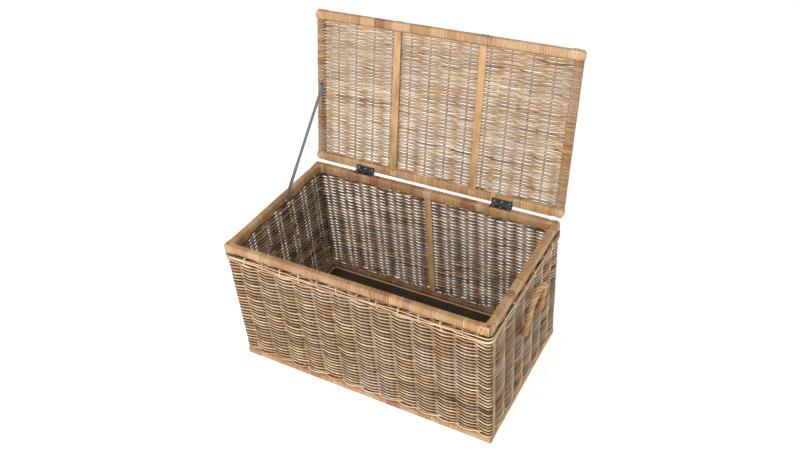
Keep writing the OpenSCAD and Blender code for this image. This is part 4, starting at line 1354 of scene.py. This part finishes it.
class TRUNK_OT_twist_handles(bpy.types.Operator):
    """Lays up the two rope handles from three strands each and binds their ends"""

    bl_idname = "trunk.twist_handles"
    bl_label = "Twist handles"

    def execute(self, context):
        fit = context.scene.trunk_fittings
        rope, deep = Vector(fit.rope), Vector(fit.rope_deep)
        finish = strand_finish("twisted rope", rope * 1.4, rope, deep, rope * 1.1, 0.3, 0.007)
        binding = strand_finish("rope binding", rope * 1.1, rope * 0.8, deep, rope, 0.2, 0.02)
        for name in ("left", "right"):
            points, total, radius, move, sign = handle_line(name, 110)
            out = 4.5 * MM
            strands = []
            for strand in range(3):
                path = []
                for i, p in enumerate(points):
                    ahead = points[min(i + 1, len(points) - 1)] - points[max(i - 1, 0)]
                    ahead.normalize()
                    across = Vector((1, 0, 0))
                    third = ahead.cross(across)
                    turn = 2 * math.pi * (i / (len(points) - 1) * total / fit.rope_lead + strand / 3)
                    path.append(p + out * (math.cos(turn) * across + math.sin(turn) * third))
                strands.append(path)
            mesh = strand_mesh("rope_" + name, strands, 3.55 * MM, 10, tones=[0.45, 0.3, 0.62], move=move)
            add_piece("rope_" + name, mesh, "handle_" + name, finish, ["handle_rope_" + name])
            coils = []
            cord = 2.3 * MM
            for y in (-radius, radius):
                coil = []
                turns = 11
                for i in range(turns * 16 + 1):
                    a = 2 * math.pi * i / 16
                    coil.append((8.3 * MM * math.cos(a), y + 8.3 * MM * math.sin(a), cord / 2 - 1 * MM + cord * i / 16))
                coils.append(coil)
            mesh = strand_mesh("binding_" + name, coils, cord / 2, 8, tones=[0.5, 0.55], move=move)
            add_piece("binding_" + name, mesh, "handle_" + name, binding, ["handle_bindings_" + name])
            self.tie_tails(name, radius, sign)
        return {"FINISHED"}

    def tie_tails(self, name, radius, sign):
        """The rope's tails through the wall, knotted inside, and the cane loop between them."""
        pivot = Vector(joint("handle_%s_swing" % name)["pos_m"])
        low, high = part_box("handle_tails_" + name)
        inner = HALF_W - WALL
        rope = Vector(bpy.context.scene.trunk_fittings.rope)
        finish = strand_finish("rope tails", rope * 0.75, rope * 0.5, rope * 0.2, rope * 0.5, 0.3)
        strands, knots = [], []
        for y in (pivot.y - radius, pivot.y + radius):
            for k in range(3):
                path = []
                for i in range(17):
                    x = inner - 7 * MM + (WALL + 7 * MM) * i / 16
                    a = 2 * math.pi * (x / (26 * MM) + k / 3)
                    path.append((sign * x, y + 2.1 * MM * math.cos(a), pivot.z + 2.1 * MM * math.sin(a)))
                strands.append(path)
            coil = []
            for i in range(2 * 16 + 1):
                a = 2 * math.pi * i / 16
                coil.append((sign * (inner - 6.6 * MM + 4.2 * MM * i / 32), y + 5.2 * MM * math.cos(a),
                             pivot.z + 5.2 * MM * math.sin(a)))
            knots.append(coil)
        mesh = strand_mesh("tails_" + name, strands, 2.05 * MM, 8, tones=[0.5] * 6)
        add_piece("tails_" + name, mesh, "trunk", finish, ["handle_tails_" + name])
        mesh = strand_mesh("tail_knots_" + name, knots, 2.3 * MM, 8, tones=[0.45, 0.5])
        add_piece("tail_knots_" + name, mesh, "trunk", finish)
        spot = (0.04, high.z - 33 * MM)
        loops = []
        for k in range(2):
            loop = []
            for i in range(15):
                a = math.pi * i / 14
                loop.append((sign * (inner - 2.4 * MM - 3.2 * MM * k * math.sin(a) - 1.5 * MM * math.sin(a) + 4 * MM * (1 - math.sin(a))),
                             spot[0] + (22 - 4.5 * k) * MM * math.cos(a), spot[1] + (29.5 - 4 * k) * MM * math.sin(a)))
            loops.append(loop)
        mesh = strand_mesh("tie_loop_" + name, loops, 2.4 * MM, 8, tones=[0.6, 0.45])
        weave = bpy.context.scene.trunk_weave
        dark = strand_finish("tie loops", weave.tan, Vector(weave.tan) * 0.6, weave.deep, weave.deep, 0.4)
        add_piece("tie_loop_" + name, mesh, "trunk", dark)


# ---- stage -----------------------------------------------------------------------------------------


def aim(obj, target):
    obj.rotation_euler = (Vector(target) - obj.location).to_track_quat("-Z", "Y").to_euler()


class TRUNK_OT_set_stage(bpy.types.Operator):
    """Sets the pale floor, the soft lights and the camera"""

    bl_idname = "trunk.set_stage"
    bl_label = "Set stage"

    def execute(self, context):
        stage = context.scene.trunk_stage
        bm = bmesh.new()
        bmesh.ops.create_circle(bm, cap_ends=True, radius=9, segments=64)
        edges = [e for e in bm.edges if e.is_boundary]
        for rise, grow in ((0.15, 1.12), (0.6, 1.1), (1.2, 1.05), (4.0, 1.0)):
            made = bmesh.ops.extrude_edge_only(bm, edges=edges)["geom"]
            edges = [e for e in made if isinstance(e, bmesh.types.BMEdge)]
            ring = [v for v in made if isinstance(v, bmesh.types.BMVert)]
            bmesh.ops.scale(bm, vec=(grow, grow, 1), verts=ring)
            bmesh.ops.translate(bm, vec=(0, 0, rise), verts=ring)
        bmesh.ops.recalc_face_normals(bm, faces=bm.faces)
        floor = bpy.data.objects.new("studio_floor", finish_bmesh(bm, "studio_floor"))
        context.scene.collection.objects.link(floor)
        material, tree, shader = new_finish("studio floor", Roughness=0.9, Specular_IOR_Level=0.1)
        spot = place(tree, "ShaderNodeTexCoord", (-900, 0)).outputs["Object"]
        haze = noise_at(tree, (-700, 0), spot, 1.5, 2.0)
        tint = mix_colour(tree, (-300, 0), haze, rgba(Vector(stage.floor) * 0.995), rgba(stage.floor))
        tree.links.new(tint, shader.inputs["Base Color"])
        set_inputs(shader, Emission_Color=(1, 1, 1, 1), Emission_Strength=stage.glow)
        floor.data.materials.append(material)

        world = context.scene.world or bpy.data.worlds.new("studio")
        context.scene.world = world
        world.use_nodes = True
        back = world.node_tree.nodes.get("Background") or world.node_tree.nodes.new("ShaderNodeBackground")
        back.inputs["Color"].default_value = (1, 1, 1, 1)
        back.inputs["Strength"].default_value = stage.sky

        for name, at, size, power in (
            ("key_light", (-0.6, -2.8, 3.1), 1.3, stage.key),
            ("fill_light", (1.6, -0.5, 3.2), 0.5, stage.fill),
        ):
            light = bpy.data.lights.new(name, "AREA")
            light.shape = "DISK"
            light.size = size
            light.energy = power
            lamp = bpy.data.objects.new(name, light)
            lamp.location = at
            context.scene.collection.objects.link(lamp)
            aim(lamp, (0, 0, 0.3))

        camera = bpy.data.objects.new("camera", bpy.data.cameras.new("camera"))
        context.scene.collection.objects.link(camera)
        camera.data.lens = stage.lens
        camera.data.sensor_width = 36
        az, el, roll = (math.radians(a) for a in (stage.around, stage.above, stage.roll))
        back_way = Vector((math.sin(az) * math.cos(el), -math.cos(az) * math.cos(el), math.sin(el)))
        right = Vector((0, 0, 1)).cross(back_way).normalized()
        up = back_way.cross(right)
        across = math.cos(roll) * right + math.sin(roll) * up
        upward = -math.sin(roll) * right + math.cos(roll) * up
        target = Vector((0.0306, 0, RIM_TOP + 0.0368))
        turned = Matrix((across, upward, back_way)).transposed().to_4x4()
        camera.matrix_world = Matrix.Translation(target + back_way * stage.far) @ turned
        context.scene.camera = camera
        context.scene.view_settings.view_transform = "Standard"
        return {"FINISHED"}


# ---- the add-on's panel and order of work ---------------------------------------------------------------


STEPS = (
    TRUNK_OT_set_stage,
    TRUNK_OT_set_stakes,
    TRUNK_OT_weave_walls,
    TRUNK_OT_lay_border,
    TRUNK_OT_wrap_rails,
    TRUNK_OT_bind_corners,
    TRUNK_OT_fit_base,
    TRUNK_OT_weave_lid,
    TRUNK_OT_wrap_lid,
    TRUNK_OT_fit_battens,
    TRUNK_OT_fit_hinges,
    TRUNK_OT_hang_strap,
    TRUNK_OT_twist_handles,
)


class TRUNK_PT_panel(bpy.types.Panel):
    """The trunk's settings and steps"""

    bl_label = "Wicker Trunk"
    bl_idname = "TRUNK_PT_panel"
    bl_space_type = "VIEW_3D"
    bl_region_type = "UI"
    bl_category = "Trunk"

    def draw(self, context):
        for settings in ("trunk_weave", "trunk_cane", "trunk_fittings", "trunk_stage"):
            group = getattr(context.scene, settings)
            box = self.layout.box()
            for key in group.__annotations__:
                box.prop(group, key)
        for step in STEPS:
            self.layout.operator(step.bl_idname)


SETTINGS = {
    "trunk_weave": TrunkWeave,
    "trunk_cane": TrunkCane,
    "trunk_fittings": TrunkFittings,
    "trunk_stage": TrunkStage,
}


def register():
    for name, group in SETTINGS.items():
        bpy.utils.register_class(group)
        setattr(bpy.types.Scene, name, PointerProperty(type=group))
    for step in STEPS:
        bpy.utils.register_class(step)
    bpy.utils.register_class(TRUNK_PT_panel)


def unregister():
    bpy.utils.unregister_class(TRUNK_PT_panel)
    for step in reversed(STEPS):
        bpy.utils.unregister_class(step)
    for name, group in SETTINGS.items():
        delattr(bpy.types.Scene, name)
        bpy.utils.unregister_class(group)


def main():
    register()
    for step in STEPS:
        family, name = step.bl_idname.split(".")
        result = getattr(getattr(bpy.ops, family), name)()
        if "FINISHED" not in result:
            raise RuntimeError(step.bl_label + " didn't finish")


if __name__ == "__main__":
    main()
